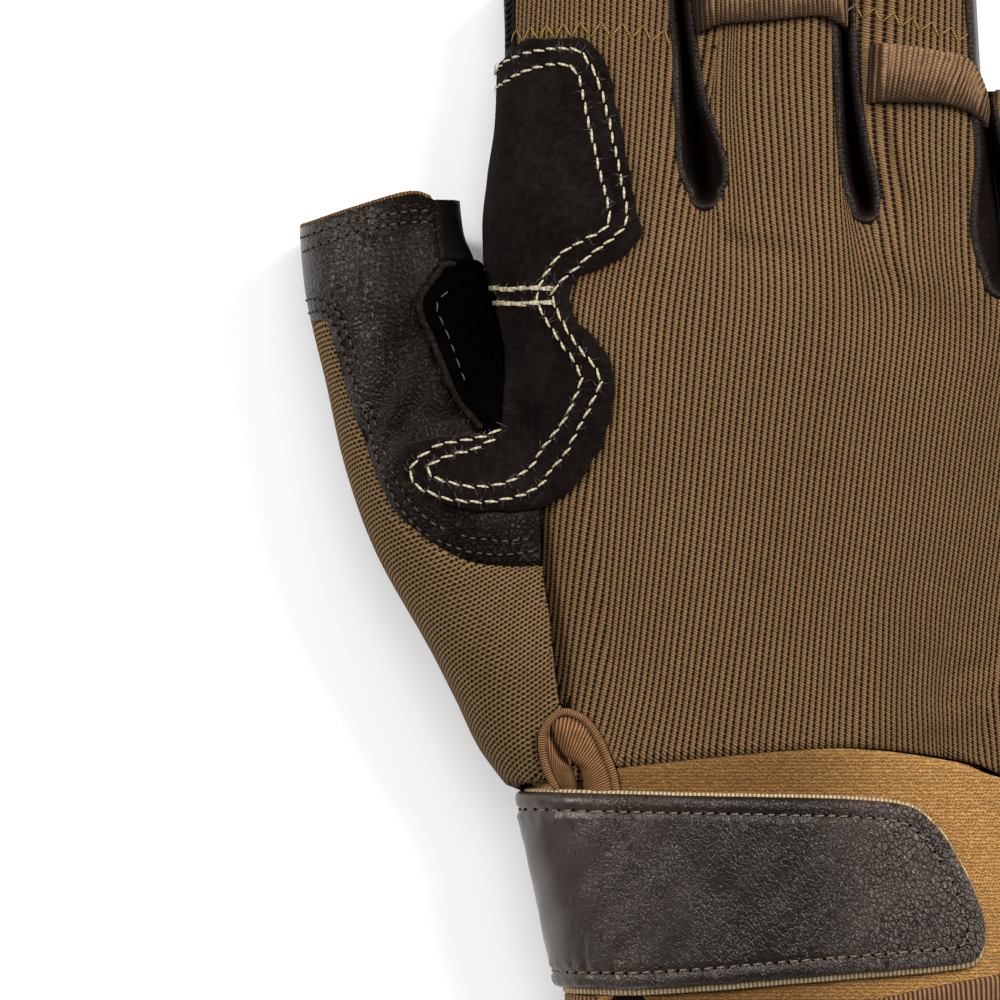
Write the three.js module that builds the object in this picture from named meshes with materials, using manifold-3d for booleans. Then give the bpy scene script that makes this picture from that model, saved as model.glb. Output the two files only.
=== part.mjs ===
// A half-finger climbing glove for the right hand, stuffed to its worn form and lying palm down.
// Millimetres. +Z is up, +Y points from the wrist to the fingertips, and the thumb is on the -X side.
// The origin is under the middle of the palm, on the surface that the glove rests on.
import * as THREE from 'three';
import { mergeVertices } from 'three/addons/utils/BufferGeometryUtils.js';
import Module from 'manifold-3d';

const wasm = await Module();
wasm.setup();

// Overall sizes
const palmBreadth = 101;
const gloveLength = 185;
const palmHeight = 33;
const fingerHeight = 25;
const thumbHeight = 29;

// Cloth, leather and the clearances between pieces
const shellWall = 1.4;
const seamGap = 0.3;
const suedeThickness = 1.1;
const backingThickness = 0.8;
const strapThickness = 1.4;
const backingMargin = 0.8;
const sideSeamHeight = 9;

// Finger slots, pull loops, vent and hem
const rimWidth = 1.45;
const loopWidth = 9.5;
const loopThickness = 1.0;
const loopStand = 0.8;
const loopFootWidth = 2.2;
const ventBindingWidth = 1.1;
const ventInsertRise = 0.5;
const hemTapeWidth = 5.3;
const hemTapeThickness = 0.8;
const strapReturn = 26;

// How finely the lofts are cut
const palmSides = 26;
const fingerSides = 16;
const thumbSides = 16;
const curveSteps = 2;

// Beyond every solid, for cutting prisms
const farAway = 60;

// Sections of the palm and wrist, from the hem to the finger roots.
// along is a share of the glove's length, left and right of the palm's breadth, top and base of its height.
const palmSections = [
  { along: -0.486, left: -0.372, right: 0.378, top: 0.84, base: 0.08 },
  { along: -0.432, left: -0.381, right: 0.385, top: 0.88, base: 0.1 },
  { along: -0.368, left: -0.405, right: 0.388, top: 0.92, base: 0.11 },
  { along: -0.265, left: -0.441, right: 0.398, top: 0.96, base: 0.09 },
  { along: -0.176, left: -0.431, right: 0.43, top: 1.0, base: 0.01 },
  { along: -0.11, left: -0.44, right: 0.457, top: 1.01, base: 0 },
  { along: -0.03, left: -0.455, right: 0.482, top: 1.01, base: 0 },
  { along: 0.06, left: -0.475, right: 0.496, top: 1.0, base: 0 },
  { along: 0.13, left: -0.485, right: 0.502, top: 0.975, base: 0 },
  { along: 0.19, left: -0.492, right: 0.503, top: 0.93, base: 0 },
  { along: 0.235, left: -0.503, right: 0.503, top: 0.875, base: 0 },
  { along: 0.27, left: -0.503, right: 0.5, top: 0.8, base: 0 },
];

// Fingers. left and right are shares of the palm's breadth, top and base of the finger's height.
const fingers = [
  {
    name: 'index',
    sections: [
      { along: 0.12, left: -0.44, right: -0.16, top: 0.8, base: 0.03 },
      { along: 0.24, left: -0.503, right: -0.155, top: 1.03, base: 0 },
      { along: 0.29, left: -0.502, right: -0.16, top: 1.0, base: 0 },
      { along: 0.34, left: -0.49, right: -0.172, top: 0.95, base: 0 },
      { along: 0.41, left: -0.487, right: -0.19, top: 0.9, base: 0 },
      { along: 0.468, left: -0.49, right: -0.208, top: 0.86, base: 0 },
    ],
  },
  {
    name: 'middle',
    sections: [
      { along: 0.12, left: -0.17, right: 0.1, top: 0.84, base: 0 },
      { along: 0.24, left: -0.165, right: 0.108, top: 1.12, base: 0 },
      { along: 0.29, left: -0.158, right: 0.1, top: 1.08, base: 0 },
      { along: 0.35, left: -0.178, right: 0.084, top: 1.02, base: 0 },
      { along: 0.41, left: -0.194, right: 0.075, top: 0.97, base: 0 },
      { along: 0.514, left: -0.2, right: 0.066, top: 0.9, base: 0 },
    ],
  },
  {
    name: 'ring',
    sections: [
      { along: 0.1, left: 0.1, right: 0.32, top: 0.8, base: 0 },
      { along: 0.22, left: 0.1, right: 0.315, top: 1.06, base: 0 },
      { along: 0.29, left: 0.096, right: 0.31, top: 1.0, base: 0 },
      { along: 0.35, left: 0.085, right: 0.302, top: 0.95, base: 0 },
      { along: 0.41, left: 0.075, right: 0.296, top: 0.9, base: 0 },
      { along: 0.474, left: 0.069, right: 0.286, top: 0.86, base: 0 },
    ],
  },
  {
    name: 'pinky',
    sections: [
      { along: 0.06, left: 0.3, right: 0.44, top: 0.62, base: 0.03 },
      { along: 0.18, left: 0.305, right: 0.502, top: 0.86, base: 0 },
      { along: 0.26, left: 0.312, right: 0.505, top: 0.8, base: 0 },
      { along: 0.32, left: 0.307, right: 0.505, top: 0.76, base: 0 },
      { along: 0.37, left: 0.298, right: 0.5, top: 0.72, base: 0 },
    ],
  },
];

// The thumb. left and right are shares of the palm's breadth, top and base of the thumb's height.
const thumbSections = [
  { along: -0.262, left: -0.47, right: -0.29, top: 0.76, base: 0.12 },
  { along: -0.225, left: -0.528, right: -0.3, top: 0.88, base: 0.08 },
  { along: -0.18, left: -0.569, right: -0.3, top: 0.95, base: 0.02 },
  { along: -0.135, left: -0.611, right: -0.31, top: 0.99, base: 0 },
  { along: -0.048, left: -0.7, right: -0.36, top: 1.0, base: 0 },
  { along: 0.027, left: -0.75, right: -0.42, top: 0.985, base: 0 },
  { along: 0.108, left: -0.784, right: -0.49, top: 0.95, base: 0 },
  { along: 0.18, left: -0.815, right: -0.535, top: 0.9, base: 0 },
  { along: 0.243, left: -0.827, right: -0.556, top: 0.84, base: 0 },
  { along: 0.3, left: -0.83, right: -0.567, top: 0.78, base: 0 },
];

// The knit's edge round each finger slot is the void plus a rolled rim. half is half the void's width.
const slots = [
  {
    name: 'index',
    rows: [
      { along: 0.276, across: -0.156, half: 0.012 },
      { along: 0.29, across: -0.158, half: 0.023 },
      { along: 0.305, across: -0.162, half: 0.025 },
      { along: 0.335, across: -0.172, half: 0.018 },
      { along: 0.36, across: -0.181, half: 0.011 },
      { along: 0.409, across: -0.19, half: 0.005 },
      { along: 0.54, across: -0.212, half: 0.004 },
    ],
  },
  {
    name: 'middle',
    rows: [
      { along: 0.262, across: 0.107, half: 0.008 },
      { along: 0.278, across: 0.102, half: 0.013 },
      { along: 0.31, across: 0.09, half: 0.012 },
      { along: 0.36, across: 0.08, half: 0.006 },
      { along: 0.409, across: 0.074, half: 0.004 },
      { along: 0.54, across: 0.064, half: 0.004 },
    ],
  },
  {
    name: 'ring',
    rows: [
      { along: 0.2, across: 0.335, half: 0.02 },
      { along: 0.235, across: 0.333, half: 0.036 },
      { along: 0.27, across: 0.328, half: 0.03 },
      { along: 0.31, across: 0.318, half: 0.014 },
      { along: 0.36, across: 0.303, half: 0.005 },
      { along: 0.45, across: 0.292, half: 0.004 },
    ],
  },
];

// The keyhole vent and the slit that runs on from it through the cuff, as shares like the slots'.
const vent = [
  { along: -0.193, across: -0.384, half: 0.004 },
  { along: -0.204, across: -0.38, half: 0.028 },
  { along: -0.217, across: -0.378, half: 0.042 },
  { along: -0.239, across: -0.365, half: 0.048 },
  { along: -0.26, across: -0.351, half: 0.042 },
  { along: -0.29, across: -0.322, half: 0.01 },
  { along: -0.357, across: -0.302, half: 0.006 },
  { along: -0.436, across: -0.287, half: 0.006 },
  { along: -0.451, across: -0.286, half: 0.019 },
  { along: -0.52, across: -0.286, half: 0.05 },
];

// The slit between the two puffs of the vent's insert
const insertSlit = [
  { along: -0.238, across: -0.373, half: 0.003 },
  { along: -0.25, across: -0.37, half: 0.008 },
  { along: -0.268, across: -0.364, half: 0.01 },
];

// Folds and dents pressed into the top of the glove. reach and width are shares of the palm's breadth,
// rise is a share of its height, and turn is in degrees from the X axis.
const folds = [
  { across: -0.1, along: 0.226, reach: 0.12, width: 0.022, turn: -14, rise: -0.035 },
  { across: 0.15, along: 0.23, reach: 0.02, width: 0.08, turn: 0, rise: -0.045 },
  { across: 0.2, along: 0.2, reach: 0.14, width: 0.05, turn: -24, rise: 0.035 },
  { across: 0.22, along: -0.19, reach: 0.13, width: 0.04, turn: 12, rise: 0.03 },
  { across: 0.3, along: -0.15, reach: 0.16, width: 0.03, turn: 35, rise: -0.03 },
  { across: -0.44, along: -0.06, reach: 0.03, width: 0.12, turn: 8, rise: -0.045 },
  { across: -0.7, along: 0.08, reach: 0.03, width: 0.12, turn: 20, rise: -0.035 },
  { across: -0.33, along: 0.19, reach: 0.1, width: 0.03, turn: 25, rise: -0.035 },
];

// Seams seen from above, as [share of breadth, share of length]
const backSeam = [
  [-0.47, 0.56], [-0.47, 0.41], [-0.46, 0.315], [-0.449, 0.18], [-0.439, 0.063], [-0.429, -0.007],
  [-0.427, -0.059], [-0.414, -0.108], [-0.404, -0.162], [-0.393, -0.2], [-0.37, -0.245],
];
const cuffSeam = [
  [-1.2, -0.27], [-0.6, -0.266], [-0.495, -0.261], [-0.37, -0.249], [-0.3, -0.242], [-0.127, -0.231],
  [0.084, -0.223], [0.267, -0.235], [0.33, -0.249], [0.429, -0.261], [0.8, -0.27],
];
const thumbHem = [
  [-1.2, 0.163], [-0.812, 0.161], [-0.779, 0.155], [-0.757, 0.115], [-0.736, 0.077], [-0.69, 0.011],
  [-0.658, -0.016], [-0.607, -0.038], [-0.551, -0.054], [-0.493, -0.059], [-0.427, -0.059],
];
const thumbEnd = [
  [-1.2, 0.2], [-0.875, 0.238], [-0.827, 0.246], [-0.743, 0.261], [-0.644, 0.276], [-0.599, 0.271],
  [-0.536, 0.268],
];
const webSeam = [[-0.531, 0.214], [-0.493, 0.176], [-0.49, 0.063], [-0.429, -0.007]];
const stripSeam = [[-0.599, 0.271], [-0.589, 0.214], [-0.531, 0.214]];
const hemLine = [
  [-1.2, -0.43], [-0.66, -0.441], [-0.429, -0.467], [-0.287, -0.477], [-0.099, -0.482], [0.097, -0.478],
  [0.198, -0.468], [0.33, -0.454], [0.462, -0.437], [0.8, -0.43],
];

// Outlines of the pieces laid on top, as shares like the seams'
const sidePatchOutline = [
  [-0.54, 0.37], [-0.512, 0.397], [-0.462, 0.413], [-0.404, 0.414], [-0.358, 0.413], [-0.332, 0.401],
  [-0.317, 0.381], [-0.299, 0.335], [-0.276, 0.268], [-0.266, 0.243], [-0.299, 0.217], [-0.353, 0.205],
  [-0.38, 0.192], [-0.375, 0.166], [-0.322, 0.135], [-0.307, 0.113], [-0.312, 0.081], [-0.34, 0.038],
  [-0.37, 0.014], [-0.421, -0.004], [-0.48, -0.009], [-0.538, -0.008], [-0.597, 0.001], [-0.647, 0.017],
  [-0.657, 0.032], [-0.639, 0.047], [-0.606, 0.055], [-0.538, 0.057], [-0.493, 0.065], [-0.488, 0.1],
  [-0.489, 0.177], [-0.5, 0.19], [-0.522, 0.215], [-0.53, 0.26],
];
const innerPatchOutline = [
  [-0.606, 0.205], [-0.63, 0.176], [-0.619, 0.144], [-0.594, 0.108], [-0.563, 0.086], [-0.528, 0.069],
  [-0.508, 0.074], [-0.506, 0.1], [-0.51, 0.165], [-0.528, 0.196], [-0.56, 0.203], [-0.585, 0.208],
];
const strapOutline = [
  [-0.62, -0.264], [-0.469, -0.264], [-0.168, -0.267], [0.031, -0.269], [0.163, -0.274], [0.205, -0.281],
  [0.241, -0.303], [0.279, -0.34], [0.299, -0.366], [0.307, -0.386], [0.299, -0.404], [0.279, -0.412],
  [0.137, -0.419], [-0.021, -0.426], [-0.18, -0.433], [-0.284, -0.436], [-0.408, -0.435], [-0.62, -0.43],
];
const middleLoopEdge = [
  [-0.2, 0.405], [-0.182, 0.413], [-0.137, 0.431], [-0.063, 0.432], [0.003, 0.436], [0.038, 0.438],
  [0.064, 0.431], [0.08, 0.422],
];
const ringLoopEdge = [
  [0.07, 0.356], [0.102, 0.358], [0.167, 0.359], [0.218, 0.356], [0.267, 0.353], [0.31, 0.346],
];

const toX = (share) => share * palmBreadth;
const toY = (share) => share * gloveLength;

// Catmull-Rom blend of one column of a section table at a position along the glove
function columnAt(rows, column, along) {
  const last = rows.length - 1;
  let i = rows.findIndex((row, k) => k < last && along <= rows[k + 1].along);
  if (i < 0) i = last - 1;
  const at = (k) => rows[Math.min(Math.max(k, 0), last)];
  const step = rows[i + 1].along - rows[i].along;
  const t = Math.min(Math.max((along - rows[i].along) / step, 0), 1);
  const slope = (k) => {
    const span = at(k + 1).along - at(k - 1).along;
    return ((at(k + 1)[column] - at(k - 1)[column]) / span) * step;
  };
  const t2 = t * t;
  const t3 = t2 * t;
  return (2 * t3 - 3 * t2 + 1) * rows[i][column] + (t3 - 2 * t2 + t) * slope(i)
    + (3 * t2 - 2 * t3) * rows[i + 1][column] + (t3 - t2) * slope(i + 1);
}

// Height that the folds add at a place on the top
function foldRise(x, y) {
  let rise = 0;
  for (const fold of folds) {
    const turn = THREE.MathUtils.degToRad(fold.turn);
    const dx = x - toX(fold.across);
    const dy = y - toY(fold.along);
    const run = (dx * Math.cos(turn) + dy * Math.sin(turn)) / toX(fold.reach);
    const side = (dy * Math.cos(turn) - dx * Math.sin(turn)) / toX(fold.width);
    rise += fold.rise * palmHeight * Math.exp(-run * run - side * side);
  }
  return rise;
}

// One ring of a rounded section. The lower half is flattened where it rests.
const topExponent = 2.6;
const sideExponent = 2.3;
const bottomExponent = 3.6;
const bottomSink = 1.07;
const middleShare = 0.44;
function sectionRing(rows, along, y, height, sides, offset) {
  const left = toX(columnAt(rows, 'left', along)) - offset;
  const right = toX(columnAt(rows, 'right', along)) + offset;
  const crown = columnAt(rows, 'top', along) * height;
  const top = crown + offset;
  const base = Math.max(columnAt(rows, 'base', along), 0) * height - offset;
  const middle = (crown + base + offset) * middleShare;
  const centre = (left + right) / 2;
  const half = (right - left) / 2;
  const ring = [];
  for (let k = 0; k < sides; k += 1) {
    const angle = (2 * Math.PI * k) / sides;
    const c = Math.cos(angle);
    const s = Math.sin(angle);
    const exponent = s >= 0 ? sideExponent : bottomExponent;
    const x = centre + half * Math.sign(c) * Math.abs(c) ** (2 / exponent);
    let z;
    if (s >= 0) {
      z = middle + (top - middle) * s ** (2 / topExponent) + foldRise(x, y) * s;
    } else {
      z = Math.max(base, middle - (middle - base) * bottomSink * (-s) ** (2 / bottomExponent));
    }
    ring.push(new THREE.Vector3(x, y, z));
  }
  return ring;
}

// A closed solid through rings of points, with fanned ends
function loftRings(rings) {
  const sides = rings[0].length;
  const positions = [];
  const index = [];
  for (const ring of rings) ring.forEach((p) => positions.push(p.x, p.y, p.z));
  for (let i = 0; i < rings.length - 1; i += 1) {
    for (let k = 0; k < sides; k += 1) {
      const a = i * sides + k;
      const b = i * sides + ((k + 1) % sides);
      index.push(a, a + sides, b, b, a + sides, b + sides);
    }
  }
  for (const end of [0, rings.length - 1]) {
    const middle = rings[end].reduce((sum, p) => sum.add(p), new THREE.Vector3()).divideScalar(sides);
    positions.push(middle.x, middle.y, middle.z);
    const centre = positions.length / 3 - 1;
    for (let k = 0; k < sides; k += 1) {
      const a = end * sides + k;
      const b = end * sides + ((k + 1) % sides);
      if (end === 0) index.push(centre, a, b);
      else index.push(centre, b, a);
    }
  }
  const geometry = new THREE.BufferGeometry();
  geometry.setAttribute('position', new THREE.Float32BufferAttribute(positions, 3));
  geometry.setIndex(index);
  return geometry;
}

function toSolid(geometry) {
  const bare = geometry.clone();
  bare.deleteAttribute('normal');
  bare.deleteAttribute('uv');
  const merged = mergeVertices(bare);
  return new wasm.Manifold(new wasm.Mesh({
    numProp: 3,
    vertProperties: new Float32Array(merged.attributes.position.array),
    triVerts: new Uint32Array(merged.index.array),
  }));
}

// A tube through a section table, carried on past its first and last row by straight overruns
function tube(rows, height, sides, offset, startRun, endRun) {
  const ringAt = (row, shift) => sectionRing(rows, row.along, toY(row.along) + shift, height, sides, offset);
  const rings = rows.map((row) => ringAt(row, 0));
  if (startRun > 0) rings.unshift(rings[0].map((p) => new THREE.Vector3(p.x, p.y - startRun, p.z)));
  if (endRun > 0) rings.push(rings[rings.length - 1].map((p) => new THREE.Vector3(p.x, p.y + endRun, p.z)));
  if (endRun < 0) rings[rings.length - 1].forEach((p) => p.setY(p.y + endRun));
  return toSolid(loftRings(rings));
}

// The whole glove's form, grown by offset. Its open ends run on by overrun, so that a hollow opens there.
function body(offset, overrun) {
  let form = tube(palmSections, palmHeight, palmSides, offset, overrun, Math.min(offset, 0));
  for (const finger of fingers) {
    form = form.add(tube(finger.sections, fingerHeight, fingerSides, offset, 0, overrun));
  }
  return form.add(tube(thumbSections, thumbHeight, thumbSides, offset, 0, overrun));
}

// An upright prism through plan points in millimetres
function prism(points, low, high) {
  const shape = new THREE.Shape(points);
  const geometry = new THREE.ExtrudeGeometry(shape, { depth: high - low, bevelEnabled: false });
  geometry.translate(0, 0, low);
  return toSolid(geometry);
}

// Plan points from a table of shares, smoothed by a spline
function smoothLine(shares, steps = curveSteps) {
  const points = shares.map(([across, along]) => new THREE.Vector2(toX(across), toY(along)));
  return new THREE.SplineCurve(points).getPoints((points.length - 1) * steps);
}

function plainLine(shares) {
  return shares.map(([across, along]) => new THREE.Vector2(toX(across), toY(along)));
}

// A closed outline grown outwards by a distance, or shrunk by a negative one
function grow(points, distance) {
  const outward = THREE.ShapeUtils.isClockWise(points) ? -1 : 1;
  return points.map((point, i) => {
    const before = points[(i + points.length - 1) % points.length];
    const after = points[(i + 1) % points.length];
    const first = new THREE.Vector2(point.y - before.y, before.x - point.x).normalize();
    const second = new THREE.Vector2(after.y - point.y, point.x - after.x).normalize();
    const miter = first.add(second).normalize();
    return new THREE.Vector2(point.x, point.y).addScaledVector(miter, outward * distance);
  });
}

function closedLine(shares) {
  const points = smoothLine([...shares, shares[0]], 1);
  points.pop();
  return points;
}

// The outline of a slot or slit whose width is given row by row, grown by a distance
function channel(rows, distance) {
  const leftSide = [];
  const rightSide = [];
  const steps = (rows.length - 1) * curveSteps;
  const up = Math.sign(rows[rows.length - 1].along - rows[0].along);
  const sorted = up > 0 ? rows : [...rows].reverse();
  for (let i = 0; i <= steps; i += 1) {
    const at = (i / steps) * (sorted.length - 1);
    const row = Math.min(Math.floor(at), sorted.length - 2);
    const along = THREE.MathUtils.lerp(sorted[row].along, sorted[row + 1].along, at - row);
    const across = toX(columnAt(sorted, 'across', along));
    const half = toX(columnAt(sorted, 'half', along)) + distance;
    leftSide.push(new THREE.Vector2(across - half, toY(along)));
    rightSide.push(new THREE.Vector2(across + half, toY(along)));
  }
  const tipY = toY(rows[0].along) - up * (distance + toX(rows[0].half));
  const tip = new THREE.Vector2(toX(rows[0].across), tipY);
  if (up > 0) return [tip, ...rightSide, ...leftSide.reverse()];
  return [...rightSide, tip, ...leftSide.reverse()];
}

const lowest = -farAway;
const highest = palmHeight + farAway;
const farSide = palmBreadth + farAway;
const farTop = gloveLength + farAway;
const halfGap = seamGap / 2;

// Everything between two heights
function slab(low, high) {
  return prism([
    new THREE.Vector2(-farSide, -farTop), new THREE.Vector2(farSide, -farTop),
    new THREE.Vector2(farSide, farTop), new THREE.Vector2(-farSide, farTop),
  ], low, high);
}

// The side of a line that runs from left to right, moved up by shift
function northOf(line, shift) {
  const moved = line.map((p) => new THREE.Vector2(p.x, p.y + shift));
  const corners = [new THREE.Vector2(farSide, farTop), new THREE.Vector2(-farSide, farTop)];
  return prism([...moved, ...corners], lowest, highest);
}

function southOf(line, shift) {
  const moved = line.map((p) => new THREE.Vector2(p.x, p.y + shift)).reverse();
  const corners = [new THREE.Vector2(-farSide, -farTop), new THREE.Vector2(farSide, -farTop)];
  return prism([...moved, ...corners], lowest, highest);
}

// The shell: the outer form less the hollow, less the slots between the fingers
const outer = body(0, 0);
const hollowForm = body(-shellWall, farAway);
const slotVoids = slots.map((slot) => prism(channel(slot.rows, 0), lowest, highest));
const slotRims = slots.map((slot) => prism(channel(slot.rows, rimWidth), lowest, highest));
const slotClear = slots.map((slot) => prism(channel(slot.rows, rimWidth + seamGap), lowest, highest));
const thumbEndLine = smoothLine(thumbEnd);
const thumbEndRight = thumbEndLine[thumbEndLine.length - 1].x;
const thumbOpening = prism([
  ...thumbEndLine, new THREE.Vector2(thumbEndRight, farTop), new THREE.Vector2(-farSide, farTop),
], lowest, highest);

let hollow = hollowForm;
for (const rim of slotRims) hollow = hollow.subtract(rim);
let shell = outer.subtract(hollow);
for (const gap of slotVoids) shell = shell.subtract(gap);
shell = shell.subtract(thumbOpening);

// Regions of the shell, seen from above
const cuffLine = plainLine(cuffSeam);
const hem = plainLine(hemLine);
const handRegion = northOf(cuffLine, halfGap);
const wristRegion = southOf(cuffLine, -halfGap);
const backLine = plainLine(backSeam);
const hemOfThumb = smoothLine(thumbHem);
const topHalf = slab(sideSeamHeight + halfGap, highest);
const bottomHalf = slab(lowest, sideSeamHeight - halfGap);

const seamBottom = backLine[backLine.length - 1];
const backRegion = prism(grow([
  ...backLine,
  new THREE.Vector2(seamBottom.x, -farTop), new THREE.Vector2(farSide, -farTop),
  new THREE.Vector2(farSide, farTop), new THREE.Vector2(backLine[0].x, farTop),
], -halfGap), lowest, highest);

const gussetRegion = prism(grow([
  ...hemOfThumb,
  ...backLine.filter((p) => p.y < toY(thumbHem[thumbHem.length - 1][1])),
  new THREE.Vector2(seamBottom.x, -farTop), new THREE.Vector2(-farSide, -farTop),
], -halfGap), lowest, highest);

const strip = plainLine(stripSeam);
const web = plainLine(webSeam);
const leatherRegion = prism(grow([
  ...[...hemOfThumb].reverse(),
  new THREE.Vector2(-farSide, farTop), new THREE.Vector2(strip[0].x, farTop),
  ...strip,
  ...web.slice(1),
], -halfGap), lowest, highest);

const stripRegion = prism(grow([
  ...[...strip].reverse(),
  new THREE.Vector2(strip[0].x, farTop), new THREE.Vector2(strip[2].x, farTop),
], -halfGap), lowest, highest);

const sideRegion = prism(grow([
  ...web,
  ...backLine.filter((p) => p.y > web[3].y + seamGap).reverse(),
  new THREE.Vector2(backLine[0].x, farTop), new THREE.Vector2(web[0].x, farTop),
], -halfGap), lowest, highest);

const ventVoid = prism(channel(vent, 0), sideSeamHeight + seamGap, highest);
const ventRim = prism(channel(vent, ventBindingWidth), sideSeamHeight + seamGap, highest);
const ventClear = prism(channel(vent, ventBindingWidth + seamGap), sideSeamHeight, highest);
const hemEnd = northOf(hem, 0);

const upper = shell.intersect(topHalf).intersect(handRegion);
let back = upper.intersect(backRegion).subtract(ventClear);
for (const rim of slotClear) back = back.subtract(rim);
const palm = shell.intersect(bottomHalf).intersect(handRegion);
const sideLeather = upper.intersect(sideRegion);
const thumbLeather = upper.intersect(leatherRegion);
const thumbStrip = upper.intersect(stripRegion);
const thumbGusset = upper.intersect(gussetRegion).subtract(ventClear);
const cuff = shell.intersect(wristRegion).intersect(hemEnd).subtract(ventClear);
const ventBinding = shell.intersect(ventRim).subtract(ventVoid).intersect(hemEnd);

// Pieces laid on the shell: a layer between two offsets, cut to an outline
const onSurface = body(seamGap, farAway);
function layer(outline, thickness, low) {
  return body(seamGap + thickness, 0).intersect(prism(outline, low, highest)).subtract(onSurface);
}

const patchLow = sideSeamHeight / 2;
const cutSlots = (solid) => slotRims.reduce((rest, rim) => rest.subtract(rim), solid);
const sidePatch = cutSlots(layer(closedLine(sidePatchOutline), suedeThickness, patchLow));
const innerPatch = layer(closedLine(innerPatchOutline), suedeThickness, patchLow);

// The strap passes round the thumb side and returns a little way under the wrist
const wristRow = palmSections[2];
function strapBand(outline, inside, outside) {
  const low = Math.min(...outline.map((p) => p.y));
  const high = Math.max(...outline.map((p) => p.y));
  const edge = toX(wristRow.left);
  const under = [
    new THREE.Vector2(-farSide, low), new THREE.Vector2(edge + strapReturn, low),
    new THREE.Vector2(edge + strapReturn, high), new THREE.Vector2(-farSide, high),
  ];
  const ring = body(outside, 0).subtract(body(inside, farAway));
  const over = ring.intersect(prism(outline, sideSeamHeight, highest));
  return over.add(ring.intersect(prism(under, lowest, sideSeamHeight)));
}

const strapLine = closedLine(strapOutline);
const strapInside = seamGap + backingThickness + seamGap;
const backing = strapBand(grow(strapLine, backingMargin), seamGap, seamGap + backingThickness);
const strap = strapBand(strapLine, strapInside, strapInside + strapThickness);

// The hem's tape is folded over the cuff's edge
const tapeShift = -(seamGap + hemTapeThickness);
const tapeOuter = body(seamGap + hemTapeThickness, farAway)
  .subtract(body(-shellWall - seamGap - hemTapeThickness, farAway + shellWall));
const tapeInner = body(seamGap, farAway + shellWall)
  .subtract(body(-shellWall - seamGap, farAway + shellWall));
const hemTape = tapeOuter
  .intersect(northOf(hem, tapeShift)).intersect(southOf(hem, hemTapeWidth))
  .subtract(tapeInner.intersect(northOf(hem, -seamGap)))
  .subtract(ventClear);

// The insert puffs up a little inside the keyhole
const keyholeRows = vent.slice(0, 5);
const insertForm = body(ventInsertRise, 0).subtract(body(-shellWall, farAway));
const strapTop = Math.max(...grow(strapLine, backingMargin).map((p) => p.y));
const strapTopLine = [new THREE.Vector2(-farSide, strapTop), new THREE.Vector2(farSide, strapTop)];
const beyondStrap = northOf(strapTopLine, seamGap);
const ventInsert = insertForm
  .intersect(prism(channel(keyholeRows, -seamGap), sideSeamHeight, highest))
  .intersect(beyondStrap)
  .subtract(prism(channel(insertSlit, 0), lowest, highest));

// A pull loop is a band across a finger that stands off its back and comes down to it at both ends
function pullLoop(edge, leftSlot, rightSlot) {
  const lower = smoothLine(edge);
  const raised = lower.map((p) => new THREE.Vector2(p.x, p.y + loopWidth)).reverse();
  const band = prism([...lower, ...raised], sideSeamHeight + seamGap, highest);
  const span = body(loopStand + loopThickness, farAway).subtract(body(loopStand, farAway));
  const foot = body(loopStand + loopThickness, farAway).subtract(body(seamGap, farAway));
  const footArea = (slot, side) => {
    const shift = side * (rimWidth + loopFootWidth);
    return prism(channel(slot.rows, 0).map((p) => new THREE.Vector2(p.x + shift, p.y)), lowest, highest);
  };
  const feet = footArea(leftSlot, 1).add(footArea(rightSlot, -1));
  const between = prism([
    ...channelSide(leftSlot.rows, 1), ...channelSide(rightSlot.rows, -1).reverse(),
  ], lowest, highest);
  return span.add(foot.intersect(feet)).intersect(band).intersect(between);
}

// The middle line of a slot, moved sideways to the rim of the finger that it borders
function channelSide(rows, side) {
  return rows.map((row) => (
    new THREE.Vector2(toX(row.across) + side * (toX(row.half) + seamGap), toY(row.along))
  ));
}

const middleLoop = pullLoop(middleLoopEdge, slots[0], slots[1]);
const ringLoop = pullLoop(ringLoopEdge, slots[1], slots[2]);

// Colours and finishes
const olive = '#6b5237';
const gold = '#a8783f';
const tan = '#8f6842';
const darkLeather = '#3d3733';
const blackSuede = '#1f1a18';
const beige = '#b59a6c';

function toMesh(name, solid, color, roughness) {
  const { vertProperties, triVerts } = solid.getMesh();
  let geometry = new THREE.BufferGeometry();
  geometry.setAttribute('position', new THREE.Float32BufferAttribute(vertProperties, 3));
  geometry.setIndex(new THREE.Uint32BufferAttribute(triVerts, 1));
  geometry = mergeVertices(geometry);
  geometry.computeVertexNormals();
  const mesh = new THREE.Mesh(geometry, new THREE.MeshStandardMaterial({ color, roughness, metalness: 0 }));
  mesh.name = name;
  return mesh;
}

const glove = new THREE.Group();
glove.add(toMesh('back_panel', back, olive, 0.9));
glove.add(toMesh('palm_panel', palm, darkLeather, 0.6));
glove.add(toMesh('side_leather', sideLeather, darkLeather, 0.6));
glove.add(toMesh('thumb_leather', thumbLeather, darkLeather, 0.55));
glove.add(toMesh('thumb_side_strip', thumbStrip, blackSuede, 0.5));
glove.add(toMesh('thumb_gusset', thumbGusset, olive, 0.9));
glove.add(toMesh('thumb_inner_patch', innerPatch, blackSuede, 0.95));
glove.add(toMesh('index_side_patch', sidePatch, blackSuede, 0.95));
slots.forEach((slot, i) => {
  const wall = shell.intersect(slotRims[i]).intersect(topHalf);
  glove.add(toMesh(`fourchette_${slot.name}`, wall, darkLeather, 0.55));
});
glove.add(toMesh('middle_pull_loop', middleLoop, tan, 0.85));
glove.add(toMesh('ring_pull_loop', ringLoop, tan, 0.85));
glove.add(toMesh('cuff', cuff, gold, 0.9));
glove.add(toMesh('cuff_binding', hemTape, tan, 0.85));
glove.add(toMesh('vent_binding', ventBinding, tan, 0.85));
glove.add(toMesh('vent_gusset', ventInsert, tan, 0.85));
glove.add(toMesh('strap_backing', backing, beige, 0.9));
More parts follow.
